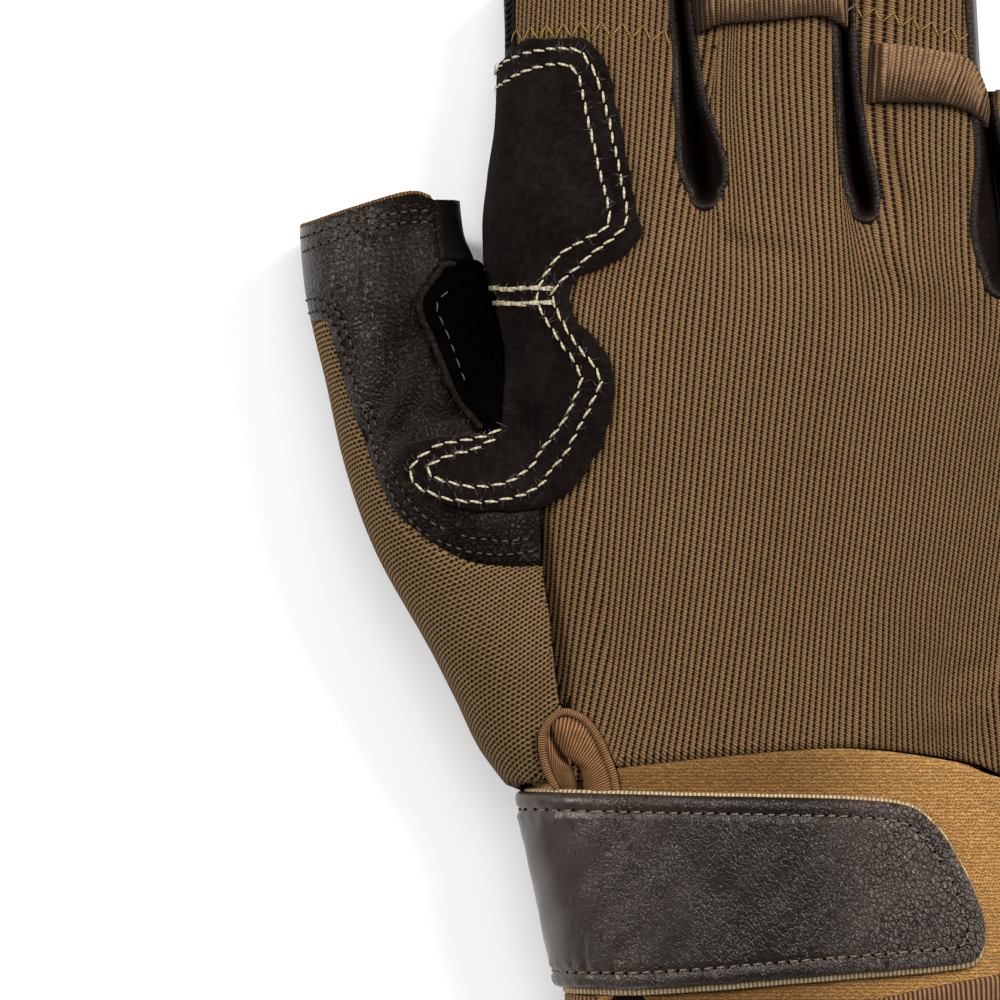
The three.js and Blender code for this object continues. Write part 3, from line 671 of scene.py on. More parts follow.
def fine_knit(name, light, dark, wide=0.62, tall=0.8, depth=0.2):
    """Small interlocked loops in offset rows. The flat map is in millimetres."""
    s = Shader(name, 0.9, 0.1, Sheen_Weight=0.08, Sheen_Roughness=0.5, Sheen_Tint=(1, .8, .5, 1))
    u, v, flat = s.flat()
    place = s.place()
    wobble = (s.noise(flat, 1.4, 2) - .5) * 1.1
    rows = (v + wobble) / tall
    shift = rows.math("FLOOR").math("MODULO", 2.0) * 0.5
    du = (((u + wobble) / wide + shift).fract() - 0.5) * wide
    dv = (rows.fract() - 0.5) * tall
    dot = (du * du + dv * dv).math("SQRT").ramp(0.05, 0.36, 1, 0)
    bright = (1.0 - dot * 0.7).times(0.3 + (s.noise(place, 60, 3, 0.6) * 0.4 + s.noise(place, 1500, 2, 0.6) * 0.9))
    shade = u.ramp(-4.0, 26.0, 0.42, 1.0)                 # the cuff falls into shade towards the thumb
    return s.finish(s.mix(bright * shade, dark, light), 1 - dot, depth, 0.7)


def pebble(name, light, dark, grain=1.0, rough=0.38, depth=0.16, specular=0.45, low=0.35, dull=None):
    """Leather with raised pebbles and fine pores, duller between two places across the glove"""
    s = Shader(name, rough, specular)
    place = s.place()
    warp = s.wire("ShaderNodeVectorMath", {0: s.noise(place, 420, output=1), "Scale": 0.0007}, operation="SCALE")
    moved = s.wire("ShaderNodeVectorMath", (place, warp), operation="ADD")
    bead = s.cells(moved, 1000 / grain).ramp(0.0, 0.3)
    strength = s.noise(place, 60, 2, 0.5).ramp(0.38, 0.58, low, 1.0)
    height = bead * strength + s.noise(place, 2200, 2, 0.6) * 0.2
    # painted shade: the valleys between the pebbles are painted darker where the pebbles are strong
    valley_shade = 1 - (1 - bead) * (strength * 0.55)
    tone = 0.3 + s.noise(place, 80, 3, 0.6) * 0.8
    if dull:
        across = s.wire("ShaderNodeSeparateXYZ", (place,))
        s.put(s.bsdf.inputs["Specular IOR Level"], across.ramp(dull[0] * MM, dull[1] * MM, specular, 0.3 * specular))
    return s.finish(s.mix(tone.times(valley_shade), dark, light), height, depth)


def pored(name, light, dark, rough=0.5, depth=0.14, specular=0.4):
    """Glossy grained leather, nearly smooth at its wrist end, with grains that grow towards its free end"""
    s = Shader(name, rough, specular)
    u, v, flat = s.flat()
    grained = (u + s.noise(flat, .08, 2) * 8).ramp(-34, -24)
    strong = u.ramp(-6, 22, 0.22, 1.3) + s.noise(flat, .12, 2).ramp(.35, .65) * .3
    # the grains are taller than wide and lean a little
    wobble = s.noise(flat, .7, 2) * .9
    grain = s.vector(u + (v * .3 + wobble), (v + wobble) * .66)
    hill = s.cells(grain, 1.45).ramp(0.0, 0.17)
    little = s.cells(grain, 2.6).ramp(0.0, 0.3)
    pores = s.cells(s.vector(u * 1.15, v * .9), 0.95, "F1").ramp(0.1, 0.26, 1, 0)
    pit = pores * (grained * s.noise(flat, .3, 2).ramp(.42, .55))
    upright = s.vector(u + s.noise(flat, .25, 2) * 1.6, v * 0.12)
    crease = s.noise(upright, 0.9, 3, 0.5, 0.2).from_half().ramp(0.0, 0.025, 1, 0)
    crease = crease * (u.ramp(-40, -34) * u.ramp(-24, -14, 1, 0))
    swell = (hill * .75 + little * .35) * (strong * grained)
    height = s.noise(flat, 5.0, 2, 0.6) * 0.12 + swell - (pit * 0.45 + crease * 0.35)
    # painted highlights: the colour is paler near the free end and a little paler towards the wrist end, where the
    # gloss catches the light, and darker in the middle
    painted_gloss = u.ramp(0, 20, 0.1, 1.6) + u.ramp(-34, -8, 0.36, 0.0)
    tone = 0.45 + s.noise(flat, 0.35, 4, 0.6) * 0.9
    # painted shade: pits and creases are painted darker, and so are the hollows between the grains where the grain is
    # strong
    keep = s.math("SUBTRACT", 1, pit * .7 + crease * .6, clamp=True)
    hollow = (1 - hill) * .8 + (1 - little) * .12
    hollow_shade = s.math("SUBTRACT", 1, (hollow * strong) * (grained * .85), clamp=True)
    return s.finish(s.mix((tone * keep).times(hollow_shade * painted_gloss), dark, light), height, depth)


def suede(name, light, dark, sheen=0.04):
    s = Shader(name, 1.0, 0.0, Sheen_Weight=sheen, Sheen_Roughness=0.6, Sheen_Tint=(0.8, 0.6, 0.55, 1))
    place = s.place()
    nap, blot, fibre = s.noise(place, 700, 4, 0.7), s.noise(place, 110, 4, 0.6), s.noise(place, 2600, 2, 0.7)
    tone = (nap * 0.5 + (blot * 0.4 + fibre * 0.35)).ramp(0.42, 0.85)
    return s.finish(s.mix(tone, dark, light), nap * 0.6 + fibre * 0.4, 0.25, 0.8)


def ribbed_tape(name, light, dark, pitch=0.78, depth=0.15, wander=0.12, foot=None, crown=(0.1, 0.4)):
    """Grosgrain: cross ribs along the flat map's first axis, with painted shade before its foot"""
    s = Shader(name, 0.85, 0.1, Sheen_Weight=0.05, Sheen_Roughness=0.5, Sheen_Tint=(1, .8, .6, 1))
    u, v, flat = s.flat()
    ribs = (u + v * 0.05 + s.noise(flat, .5, 2) * wander) / pitch
    ridge = ribs.fract().from_half().ramp(*crown, 1, 0)
    bead = (v / 0.45 + ribs.math("FLOOR") * 0.5).fract().from_half().ramp(0.25, 0.5, 1, 0)
    # painted shade: the hollows between the ribs are painted nearly black, and between the beads darker
    tone = (0.12 + ridge * 0.88) * (0.6 + bead * 0.4)
    tone = tone.times(0.45 + s.noise(s.place(), 700, 3, 0.6) * 1.0)
    # painted shade: the tape is darkened before its foot, where it dips into a slot
    if foot:
        tone = tone * u.ramp(foot - 1.2, foot + .6, 0.12, 1.0)
    return s.finish(s.mix(tone, dark, light), ridge + bead * 0.25, depth)


def thread(name, light, dark, rough=0.75, twist=0.5):
    """Two-ply thread. The flat map runs along the thread in millimetres and once round it."""
    s = Shader(name, rough, 0.15)
    u, v, _ = s.flat()
    ridge = (u / twist + v).fract().from_half().ramp(0.2, 0.5, 1, 0)
    tone = (ridge * 0.6).math("ADD", s.noise(s.place(), 1800, 2, 0.6) * 0.6, clamp=True)
    return s.finish(s.mix(tone, dark, light), ridge, 0.07, 0.8)


def fuzzy(name, light, dark, scale=1500):
    s = Shader(name, 0.95, 0.05)
    tone = s.noise(s.place(), scale, 3, 0.7)
    return s.finish(s.mix(tone.ramp(0.35, 0.65), dark, light), tone, 0.25, 0.9)


KNIT = rib_knit("rib_knit", (.245, .144, .065), (.007, .0028, .001))
GUSSET_KNIT = rib_knit("gusset_knit", (.235, .145, .066), (.006, .003, .001),
                       pitch=0.72, hole=0.83, loop=0.42, twist=0.25, groove_shade=0.6, sheen=0.0)
CUFF_KNIT = fine_knit("cuff_knit", (.54, .28, .088), (.035, .013, .003), wide=0.5, tall=0.6, depth=0.3)
LEATHER = pebble("grain_leather", (.0105, .0075, .006), (.001, .0008, .0006),
                 grain=0.92, rough=0.32, depth=0.42, specular=0.27, low=0.2, dull=(-73, -66))
STRAP_LEATHER = pored("strap_leather", (.08, .062, .054), (.0035, .0024, .002), rough=0.3, depth=0.22, specular=0.44)
SMOOTH_LEATHER = pebble("black_leather", (.0022, .0018, .0015), (.001, .0008, .0008),
                        grain=0.6, rough=0.5, depth=0.03, specular=0.06)
FOURCHETTE = pebble("fourchette_leather", (.011, .0065, .005), (.003, .0016, .0012),
                    grain=0.6, rough=0.38, depth=0.08, specular=0.2)
EDGE_LEATHER = pebble("edge_leather", (.008, .006, .005), (.0015, .001, .0009),
                      grain=0.7, rough=0.55, depth=0.15, specular=0.08)
PALM_LEATHER = pebble("palm_leather", (.02, .015, .012), (.005, .0035, .0028),
                      grain=0.9, rough=0.5, depth=0.1, specular=0.2)
SUEDE = suede("suede", (.0115, .0085, .0076), (.002, .0014, .0012))
# painted shade: a near-black copy of the suede for the patch deep in the thumb's web, darkened for the shade that falls
# there
SHADED_SUEDE = suede("suede_painted_shade", (.0016, .0013, .0012), (.0004, .0003, .0003), sheen=0)
GROSGRAIN = ribbed_tape("grosgrain", (.3, .16, .075), (.008, .0035, .0015))
VENT_TAPE = ribbed_tape("vent_tape", (.34, .175, .07), (.03, .013, .005), pitch=0.42, depth=0.12)
LOBE_TAPE = ribbed_tape("lobe_tape", (.34, .165, .065), (.03, .012, .005), pitch=0.4, depth=0.16)
# the loops' tape carries painted shade for its first few millimetres, where it dips into a slot
LOOP_TAPE = ribbed_tape("loop_tape", (.265, .15, .073), (.003, .0014, .0007),
                        depth=0.35, wander=0.2, foot=4.0, crown=(0.02, 0.32))
BACKING = ribbed_tape("backing", (.55, .42, .25), (.16, .1, .05), pitch=0.7, depth=0.12)
TRIM = ribbed_tape("trim", (.2, .105, .038), (.03, .013, .005), pitch=0.6, depth=0.14)
STRAP_THREAD = thread("strap_thread", (.24, .18, .13), (.06, .045, .03))
CREAM = thread("cream_thread", (.56, .49, .33), (.24, .19, .11), twist=.8)
TAN_THREAD = thread("tan_thread", (.31, .19, .05), (.12, .065, .018))
DIM_THREAD = thread("dim_thread", (.095, .07, .05), (.025, .018, .012))
WHIP_THREAD = thread("whip_thread", (.05, .037, .03), (.012, .008, .006))
HAIR = fuzzy("fibre", (.3, .27, .22), (.14, .12, .1))
FUZZ = fuzzy("suede_edge", (.016, .0115, .0085), (.004, .003, .0022), 900)
HOLE = fuzzy("needle_hole", (.002, .0017, .0015), (.001, .001, .001))


# ---------------------------------------------------------------- camera and light
FRAME = 1000          # the picture's width
LEVEL = 0.02          # the height, in metres, at which the picture's scale holds


def make_camera():
    cam = bpy.data.cameras.new("camera")
    cam.lens, cam.sensor_width, cam.clip_end = 600, 36, 20
    away = cam.lens / cam.sensor_width * FRAME / PX      # where the frame shows the picture's width
    obj = bpy.data.objects.new("camera", cam)
    obj.location = ((FRAME / 2 - PX_X) / PX * MM, 0, away * MM + LEVEL)
    bpy.context.scene.collection.objects.link(obj)
    bpy.context.scene.camera = obj


make_camera()
for name, place, aim, size, power in (("right", (1.25, .75, 1.15), (0, 0, 0), .9, 40.0),
                                      ("left", (-1.35, .55, 1.15), (-.03, 0, 0), .8, 24.0),
                                      ("top", (.1, .9, 2.1), (0, 0, 0), 1.2, 17.0)):
    light = bpy.data.lights.new(name, "AREA")
    light.energy, light.size = power, size
    lamp = bpy.data.objects.new(name, light)
    lamp.location = place
    lamp.rotation_euler = (Vector(aim) - Vector(place)).to_track_quat("-Z", "Y").to_euler()
    bpy.context.scene.collection.objects.link(lamp)
world = bpy.data.worlds.new("world")
world.use_nodes = True
world.node_tree.nodes["Background"].inputs[0].default_value = (1, 1, 1, 1)
world.node_tree.nodes["Background"].inputs[1].default_value = 0.2
bpy.context.scene.world = world
bpy.context.scene.view_settings.view_transform = "Standard"

floor_shader = Shader("floor", 0.9, 0.1, Emission_Color=(1, 1, 1, 1), Emission_Strength=0.1)
floor_shader.finish(floor_shader.mix(floor_shader.noise(floor_shader.place(), 3), (.93, .93, .93), (.95, .95, .95)))
FLOOR_HALF, FLOOR_Z = 4000, -.05
floor = new_object("floor", [(x, y, FLOOR_Z) for x, y in ((-FLOOR_HALF, -FLOOR_HALF), (FLOOR_HALF, -FLOOR_HALF),
                                                          (FLOOR_HALF, FLOOR_HALF), (-FLOOR_HALF, FLOOR_HALF))],
                   [(0, 1, 2, 3)], material=floor_shader.mat)


def settle(obj, node=None):
    """Every piece rides the one body; a main piece takes the place of a solid"""
    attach(obj, "root")
    if node:
        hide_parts(node)


CUTS = {}             # flat width, length and area of each piece of cloth or leather, in millimetres


def area_of(line):
    """Area inside a closed line, below 0 where the line turns clockwise"""
    return np.sum(line[:, 0] * np.roll(line[:, 1], -1) - np.roll(line[:, 0], -1) * line[:, 1]) / 2


def cut_size(outline, holes=()):
    """Width, length and area of a cut, less the holes that lie in it"""
    lost = sum(abs(area_of(h)) for h in holes if inside(h.mean(0)[None], outline)[0])
    return *(outline.max(0) - outline.min(0)), abs(area_of(outline)) - lost


LEAST_SHARE = .31     # the least share of its flat rectangle that a cut is declared with


def declare_sheets():
    """A cut's flat size: its width and length in flat coordinates, drawn out to its area along the surface. The values
    are worked out but not kept.
    """
    for name, (wide, long, area) in CUTS.items():
        piece = bpy.data.objects[name]
        real = sum(f.area for f in piece.data.polygons) / 2 / (MM * MM)     # half of both faces
        grow = math.sqrt(real / area)
        full = wide * long * grow * grow
        wide * grow * MM
        long * grow * MM
        float(np.clip(real, LEAST_SHARE * full, full)) * MM * MM


# ---------------------------------------------------------------- outlines of the pieces
BACK_SEAM = shares([(-.47, .56), (-.47, .41), (-.46, .315), (-.449, .18), (-.439, .063), (-.429, -.007),
                    (-.427, -.059), (-.414, -.108), (-.404, -.162), (-.393, -.2), (-.37, -.245), (-.36, -.27)])
CUFF_SEAM = shares([(-1.2, -.27), (-.6, -.266), (-.495, -.261), (-.37, -.249), (-.3, -.242), (-.127, -.231),
                    (.084, -.223), (.267, -.235), (.33, -.249), (.429, -.261), (.8, -.27)])
THUMB_HEM = shares([(-1.2, .163), (-.812, .161), (-.779, .155), (-.757, .115), (-.736, .077), (-.69, .011),
                    (-.658, -.016), (-.607, -.038), (-.551, -.054), (-.493, -.059), (-.427, -.059)])
THUMB_END = shares([(-1.2, .2), (-.875, .238), (-.827, .246), (-.743, .261), (-.644, .276), (-.599, .271),
                    (-.536, .268)])
HEM = shares([(-1.2, -.43), (-.66, -.441), (-.429, -.467), (-.287, -.477), (-.099, -.482), (.097, -.478),
              (.198, -.468), (.33, -.454), (.462, -.437), (.8, -.43)])


def line_y(line, x):
    order = np.argsort(line[:, 0])
    return np.interp(x, line[order, 0], line[order, 1])


def line_x(line, y):
    return line_y(line[:, ::-1], y)


cuff_line, hem_line, thumb_hem_line = (smooth_line(line, 8) for line in (CUFF_SEAM, HEM, THUMB_HEM))
back_line, thumb_end_line = smooth_line(BACK_SEAM), smooth_line(THUMB_END)
GAP = 0.15            # from a seam's line to the edge of each piece
WALL = 1.4            # thickness of the leather and of the gusset
BACK_WALL = 1.3       # thickness of the knit of the back and the cuff


def above_cuff(x):
    """Where the pieces above the cuff's seam end; its line is level past the hand's sides"""
    return line_y(cuff_line, np.clip(x, -60, 60)) + GAP


def side_seam(chart, y, to_right=False, turn=SEAM_TURN):
    """The seam round a chart's left or right side, in flat coordinates"""
    r = chart.radius
    a = chart.right(y) - r + turn * r if to_right else chart.left(y) + r - turn * r
    return np.column_stack([a, y])


# ---------------------------------------------------------------- ribs of the back
# The ribs' pitch at the height RIB_START in picture units, and how they lean, across for each unit down, at some
# heights
RIB_X = (np.array([430, 560, 620, 700, 780, 820, 860, 900, 940, 975, 1010, 1110]) - PX_X) / PX
RIB_PITCH = np.array([6.3, 6.2, 6.35, 6.6, 6.45, 6.2, 6.0, 5.7, 5.25, 4.9, 5.2, 6.0]) / PX
LEAN_Y = np.array([-80, 30, 80, 130, 180, 230, 280, 330, 380, 480, 580, 630, 680, 725, 790.0])
LEAN_X = (np.array([560, 620, 660, 700, 740, 780, 820, 860, 900, 940, 975]) - PX_X) / PX
LEAN = np.array([
    [-.03, -.06, -.10, -.05, -.05, -.03, -.05, -.05, -.05, -.03, .0],
    [-.03, -.08, -.13, -.05, -.05, -.02, -.05, -.03, -.06, -.02, .0],
    [-.05, -.07, -.14, -.05, .0, .03, .02, .05, .0, -.02, .0],
    [-.06, -.08, -.12, .02, .08, .07, .0, .1, .0, -.05, -.04],
    [-.08, -.12, -.17, .05, .08, .03, .02, .22, .13, .02, -.04],
    [-.12, -.14, -.16, .02, .12, .10, .04, .25, .04, .0, -.06],
    [-.2, -.19, -.16, -.05, .03, .03, .05, .22, .15, .11, .0],
    [-.1, -.08, -.11, -.11, -.11, -.08, -.05, -.05, -.12, .0, -.1],
    [-.08, -.05, -.08, -.11, -.11, -.13, -.15, -.14, -.14, -.16, -.18],
    [-.08, -.07, -.10, -.10, -.10, -.10, -.12, -.12, -.11, -.12, -.13],
    [-.10, -.10, -.12, -.13, -.13, -.12, -.12, -.14, -.13, -.14, -.15],
    [-.12, -.12, -.12, -.13, -.13, -.12, -.10, -.07, -.02, -.04, -.1],
    [-.14, -.15, -.15, -.13, -.15, -.12, -.07, -.07, -.06, -.06, -.1],
    [-.25, -.20, -.23, -.18, -.13, -.11, -.11, -.05, .0, .05, .05],
    [-.35, -.25, -.23, -.18, -.13, -.11, -.11, -.05, .0, .05, .05],
])


RIB_START = 480       # the height, in the picture, at which the ribs' places are given


def lean_shift(step=5.0):
    """The leans added up from RIB_START, as sideways moves in millimetres on a fine ladder of heights"""
    ladder = np.arange(-80, 800, step)
    lean = np.array([np.interp(ladder, LEAN_Y, column) for column in LEAN.T]).T
    moved = np.cumsum(lean * step, 0)
    moved -= moved[np.argmin(np.abs(ladder - RIB_START))]
    return (PX_Y - ladder[::-1]) / PX, moved[::-1] / PX


SHIFT_Y, SHIFT = lean_shift()


def rib_place(base_x, y):
    """Where the rib that passes base_x at the reference height lies at y"""
    yi = np.clip((y - SHIFT_Y[0]) / (SHIFT_Y[1] - SHIFT_Y[0]), 0, len(SHIFT_Y) - 1.001)
    y0 = yi.astype(int)
    t = yi - y0
    xi = np.clip(np.searchsorted(LEAN_X, base_x) - 1, 0, len(LEAN_X) - 2)
    s = np.clip((base_x - LEAN_X[xi]) / (LEAN_X[xi + 1] - LEAN_X[xi]), 0, 1)
    s = s * s * (3 - 2 * s)
    low = SHIFT[y0, xi] * (1 - s) + SHIFT[y0, xi + 1] * s
    high = SHIFT[y0 + 1, xi] * (1 - s) + SHIFT[y0 + 1, xi + 1] * s
    return base_x + low * (1 - t) + high * t


def rib_lines(x0, x1, per_rib):
    """Places at RIB_START and rib numbers of the grid's columns"""
    fine = np.linspace(x0, x1, 4000)
    pitch = np.interp(fine, RIB_X, RIB_PITCH)
    number = np.concatenate([[0], np.cumsum((1 / pitch)[:-1] * np.diff(fine))])
    n = np.arange(0, number[-1], 1 / per_rib)
    return np.interp(n, number, fine), n


# wrinkles of the stretched knit: two ends in picture places, width and rise in millimetres
WRINKLES = [
    ((704, 212), (726, 240), 1.0, -.45), ((726, 240), (800, 252), 1.1, -.4), ((716, 205), (745, 232), 1.1, .4),
    ((745, 232), (812, 240), 1.2, .35), ((880, 120), (900, 190), .9, -.5), ((900, 190), (912, 240), 1.0, -.4),
    ((889, 110), (911, 190), .9, .4), ((868, 222), (898, 292), 1.1, -.45), ((880, 222), (915, 285), 1.2, .35),
    ((950, 690), (998, 676), 1.2, .4), ((940, 702), (998, 690), 1.0, -.4), ((930, 640), (1000, 655), 1.5, .3),
    ((990, 300), (960, 345), 1.2, -.35), ((860, 735), (960, 715), 1.6, .3), ((700, 260), (690, 330), 1.6, .25)]


def off_line(a, y, start, end):
    """How far places are from a stretch of line between two picture places"""
    p, q = px([start, end])
    ab = q - p
    t = np.clip(((a - p[0]) * ab[0] + (y - p[1]) * ab[1]) / (ab @ ab), 0, 1)
    return np.hypot(a - p[0] - t * ab[0], y - p[1] - t * ab[1])


def ridges(a, y, table):
    """Rises and grooves along straight stretches"""
    return sum(rise * np.exp(-(off_line(a, y, start, end) / width) ** 2) for start, end, width, rise in table)


BACK_TOP, BACK_LEFT, BACK_RIGHT = 97.0, -72.0, 74.0      # the back's grid before it is cut
COLUMNS_PER_RIB, RIB_DEPTH = 5, 0.26


def make_back():
    base, number = rib_lines(BACK_LEFT, BACK_RIGHT, COLUMNS_PER_RIB)
    t = np.linspace(0, 1, 100)
    B, T = np.meshgrid(base, t)
    N, _ = np.meshgrid(number, t)
    low_y = line_y(cuff_line, np.clip(B, -47, 50)) + GAP
    Y = low_y + (BACK_TOP - low_y) * T
    A = rib_place(B, Y)
    side = side_seam(hand, np.linspace(-48.5, 68.4, 60), to_right=True)
    left = hand.flatten(back_line[back_line[:, 1] > -46.5] + [GAP, 0])
    left = left[np.argsort(left[:, 1])]
    bottom_x = np.linspace(left[0, 0], side[0, 0], 90)
    bottom = np.column_stack([bottom_x, above_cuff(bottom_x)])
    left = left[(left[:, 1] > bottom[0, 1] + .3) & (left[:, 1] < INDEX_END - .5)]
    side = side[side[:, 1] > bottom[-1, 1] + .3]
    outline = np.vstack([bottom, side, [[side[-1, 0], PINKY_END]], FINGER_ENDS, [[left[-1, 0], INDEX_END]], left[::-1]])
    slots = [channel(rows, RIM + .1, top=120) for rows in SLOTS.values()]
    rise = 0.5 - 0.5 * np.cos(2 * np.pi * N)
    relief = RIB_DEPTH * (rise ** 0.7 - 1.0) - 0.02 + ridges(A, Y, WRINKLES)
    panel = cut_panel(hand, A, Y, outline, [*slots, channel(VENT, VENT_CUT)], -BACK_WALL, 0, 0, relief,
                      np.stack([N, Y], -1), 1.1)
    settle(new_object("back_knit", *panel, KNIT), "back_panel")
    # for the cut's area a slot ends where the fingers do
    CUTS["back_knit"] = cut_size(outline, [np.column_stack([h[:, 0], np.minimum(h[:, 1], 87.0)]) for h in slots])


make_back()


def patch_left(y):
    """The index finger's side, which runs straight on below its root and then out into the thumb's web"""
    return curve(INDEX, 1, np.maximum(y, 44.4)) - np.maximum(37 - y, 0) * 2.2


side_chart = Chart(HAND + [(THUMB, (-47.5, 24, 1.0), 5.0)], patch_left, hand_right)


def ruled(chart, ys, left, right, columns, relief=None):
    """A closed thin panel between two side lines"""
    l, r = left(ys)[:, None], right(ys)[:, None]
    A = l + (r - l) * np.linspace(0, 1, columns)[None]
    Y = np.repeat(ys[:, None], columns, 1)
    p = chart.points(A, Y)
    n = gradient_normals(p, chart.side)
    if relief is not None:
        p = p + n * relief(A, Y)[..., None]
    return grid_shell(p, n, np.ones((len(ys) - 1, columns - 1), bool), -WALL, 0, .2, np.stack([A, Y], -1))


def flat_panel(name, chart, outline, material, step=1.0, holes=(), low=-WALL, high=0.0, bulge=0.25, relief=None,
               round_off=0.0):
    """A panel on a plain grid, cut to an outline in flat coordinates, its edges rounded off by a depth"""
    A, Y = box_grid(outline, step)
    R = np.zeros_like(A) if relief is None else relief(A, Y)
    if round_off:
        _, d = nearest(np.column_stack([A.ravel(), Y.ravel()]), [outline, *holes])
        R = R - round_off * np.clip(1 - d.reshape(A.shape) / (1.6 * step), 0, 1) ** 2
    panel = cut_panel(chart, A, Y, outline, holes, low, high, bulge, R, np.stack([A, Y], -1), step * 1.1)
    CUTS[name] = cut_size(outline, holes)
    return new_object(name, *panel, material)


# ---------------------------------------------------------------- threads on the surface
def plan(points, steps=6):
    """A smooth line in plan through places in the picture"""
    return smooth_line(px(points), steps)


DIVE = .14            # how far a stitch's ends go below its lift


def strokes(parts, chart, ends, lift, radius, arch=.22, rings=7, sides=6, flat=.75):
    """Short threads between pairs of flat coordinates, both ends diving into the surface"""
    ends = np.asarray(ends, float)
    t = np.linspace(0, 1, rings)
    at = ends[:, None, 0] * (1 - t)[None, :, None] + ends[:, None, 1] * t[None, :, None]
    p, n = chart.frame(at[..., 0], at[..., 1])
    side = unit(np.cross(n, unit(np.gradient(p, axis=1))))
    rise = lift - DIVE + (arch + DIVE) * np.sin(np.pi * t) ** .7
    r = radius * np.sin(np.pi * np.clip(t, .03, .97)) ** .5
    for place, corners in zip(p, tube_rings(p + n * rise[:, None], side, n, r, sides, flat)):
        parts.add(*sweep(corners), tube_map(run_along(place), sides))


def dashes(line, pitch, long, wander=0.0, turn=0.0, seed=1):
    """Pairs of ends of a row of stitches along a line in flat coordinates, each turned by some degrees"""
    rng = np.random.default_rng(seed)
    at = resample(line, pitch)
    d = unit(at[1:] - at[:-1])
    c, s = math.cos(math.radians(turn)), math.sin(math.radians(turn))
    d = np.column_stack([d[:, 0] * c - d[:, 1] * s, d[:, 0] * s + d[:, 1] * c])
    mid = (at[1:] + at[:-1]) / 2
    mid = mid + rng.normal(0, wander, mid.shape)
    half = long / 2 * (1 + rng.normal(0, .08, (len(mid), 1)))
    return np.stack([mid - d * half, mid + d * half], 1)


def zigzag(line, pitch, width):
    """Pairs of ends of a zigzag row about a line in flat coordinates"""
    at = resample(line, pitch / 2)
    d = unit(np.gradient(at, axis=0))
    side = np.column_stack([-d[:, 1], d[:, 0]]) * (width / 2)
    corner = at + side * np.where(np.arange(len(at)) % 2, 1, -1)[:, None]
    return np.stack([corner[:-1], corner[1:]], 1)


def rope(parts, chart, line, lift, radius, step=.5, sides=8, wobble=0.0, squash=1.0, seed=3):
    """A round edge or thick thread laid along a line in flat coordinates"""
    rng = np.random.default_rng(seed)
    at = resample(line, step)
    p, n = chart.frame(at[:, 0], at[:, 1])
    side = unit(np.cross(n, unit(np.gradient(p, axis=0))))
    r = radius * (1 + wobble * rng.normal(0, 1, len(at)))
    r[[0, -1]] *= .4
    corners = tube_rings(p + n * lift, side, n, r, sides, squash)
    parts.add(*sweep(corners), tube_map(np.arange(len(at)) * step, sides))


def fibres(parts, chart, line, lift, count, long, radius=.045, seed=5):
    """Loose hairs that stand off a row of stitches"""
    rng = np.random.default_rng(seed)
    at = resample(line, .5)
    pick = at[rng.integers(0, len(at), count)] + rng.normal(0, .3, (count, 2))
    t = np.linspace(0, 1, 6)[:, None]
    for p, n in zip(*chart.frame(pick[:, 0], pick[:, 1])):
        turn = rng.uniform(0, 2 * np.pi)
        flat = np.array([math.cos(turn), math.sin(turn), 0.0])
        flat -= n * np.dot(flat, n)
        side, bend = np.cross(n, flat), rng.normal(0, .35)
        size = long * rng.uniform(.4, 1.2)
        mid = (p + n * (lift + .35 * np.sin(t * np.pi)) + flat * (t - .5) * size
               + side * bend * size * (t - .5) ** 2 * 2)
        parts.add(*sweep(tube_rings(mid, side, n, radius, 3)))


def threads(parts, name, material):
    """Stitching belongs to the piece it is sewn through and takes no solid's place"""
    settle(parts.make(name, material))


# ---------------------------------------------------------------- leather beside the index finger
# where the leathers of the thumb and of the index side meet in the web
WEB = shares([(-.493, .176), (-.49, .063), (-.429, -.007)])


def make_side_leather():
    side = side_seam(side_chart, np.linspace(40.5, INDEX_END, 30))
    inner = side_chart.flatten(WEB[::-1] + [GAP, 0])
    right = back_line[(back_line[:, 1] > -1.0) & (back_line[:, 1] < INDEX_END)] - [GAP, 0]
    right = side_chart.flatten(right[np.argsort(right[:, 1])])
    outline = np.vstack([inner, side, [[right[-1, 0], INDEX_END]], right[::-1]])
    obj = flat_panel("leather_beside_index", side_chart, outline, EDGE_LEATHER, 1.1, bulge=0.2)
    settle(obj, "side_leather")
    # slanting strands over the finger's edge
    parts = Parts()
    ys = np.arange(76.0, INDEX_END - .4, 1.15)
    middle = side_seam(side_chart, ys, turn=np.pi / 2)[:, 0] + 2.5
    ends = np.stack([np.column_stack([middle - 1.5, ys - .6]), np.column_stack([middle + 1.4, ys + .6])], 1)
    strokes(parts, side_chart, ends, .12, .42, arch=.2, rings=7, sides=8, flat=.6)
    threads(parts, "index_edge_braid", EDGE_LEATHER)


make_side_leather()


# ---------------------------------------------------------------- thumb
def turned_edge(ys):
    """The seam allowance that runs from the thumb side's edge down to the back's edge"""
    x = line_x(back_line, ys)
    high, up = left_part.frame(*left_part.flatten(np.column_stack([x - GAP - .1, ys])).T)
    low, _ = hand.frame(*hand.flatten(np.column_stack([x - .1, ys])).T)
    foot, _ = hand.frame(*hand.flatten(np.column_stack([x + 1.0, ys])).T)
    a, b, c = high - up * .9, low - [0, 0, .3], foot - [0, 0, 1.75]
    a[:, 0], b[:, 0] = x - .3, x - .15
    thick = [.45, 0, 0]
    front = [a + (b - a) * t for t in np.linspace(0, 1, 6)] + [c]
    back = [c - [0, 0, .4], b - [.45, 0, .1]] + [a + (b - a) * t - thick for t in np.linspace(.8, 0, 5)]
    return sweep(np.stack(front + back, 1))


def join(obj, verts, faces):
    """Add a closed strip to a piece's own mesh"""
    bm = bmesh.new()
    bm.from_mesh(obj.data)
    layer = bm.loops.layers.uv["flat"]
    made = [bm.verts.new(v * MM) for v in np.asarray(verts, float)]
    for corners in faces:
        face = bm.faces.new([made[i] for i in corners])
        face.smooth = True
        for loop in face.loops:
            loop[layer].uv = (loop.vert.co.x / MM, loop.vert.co.y / MM)
    bm.to_mesh(obj.data)
    bm.free()


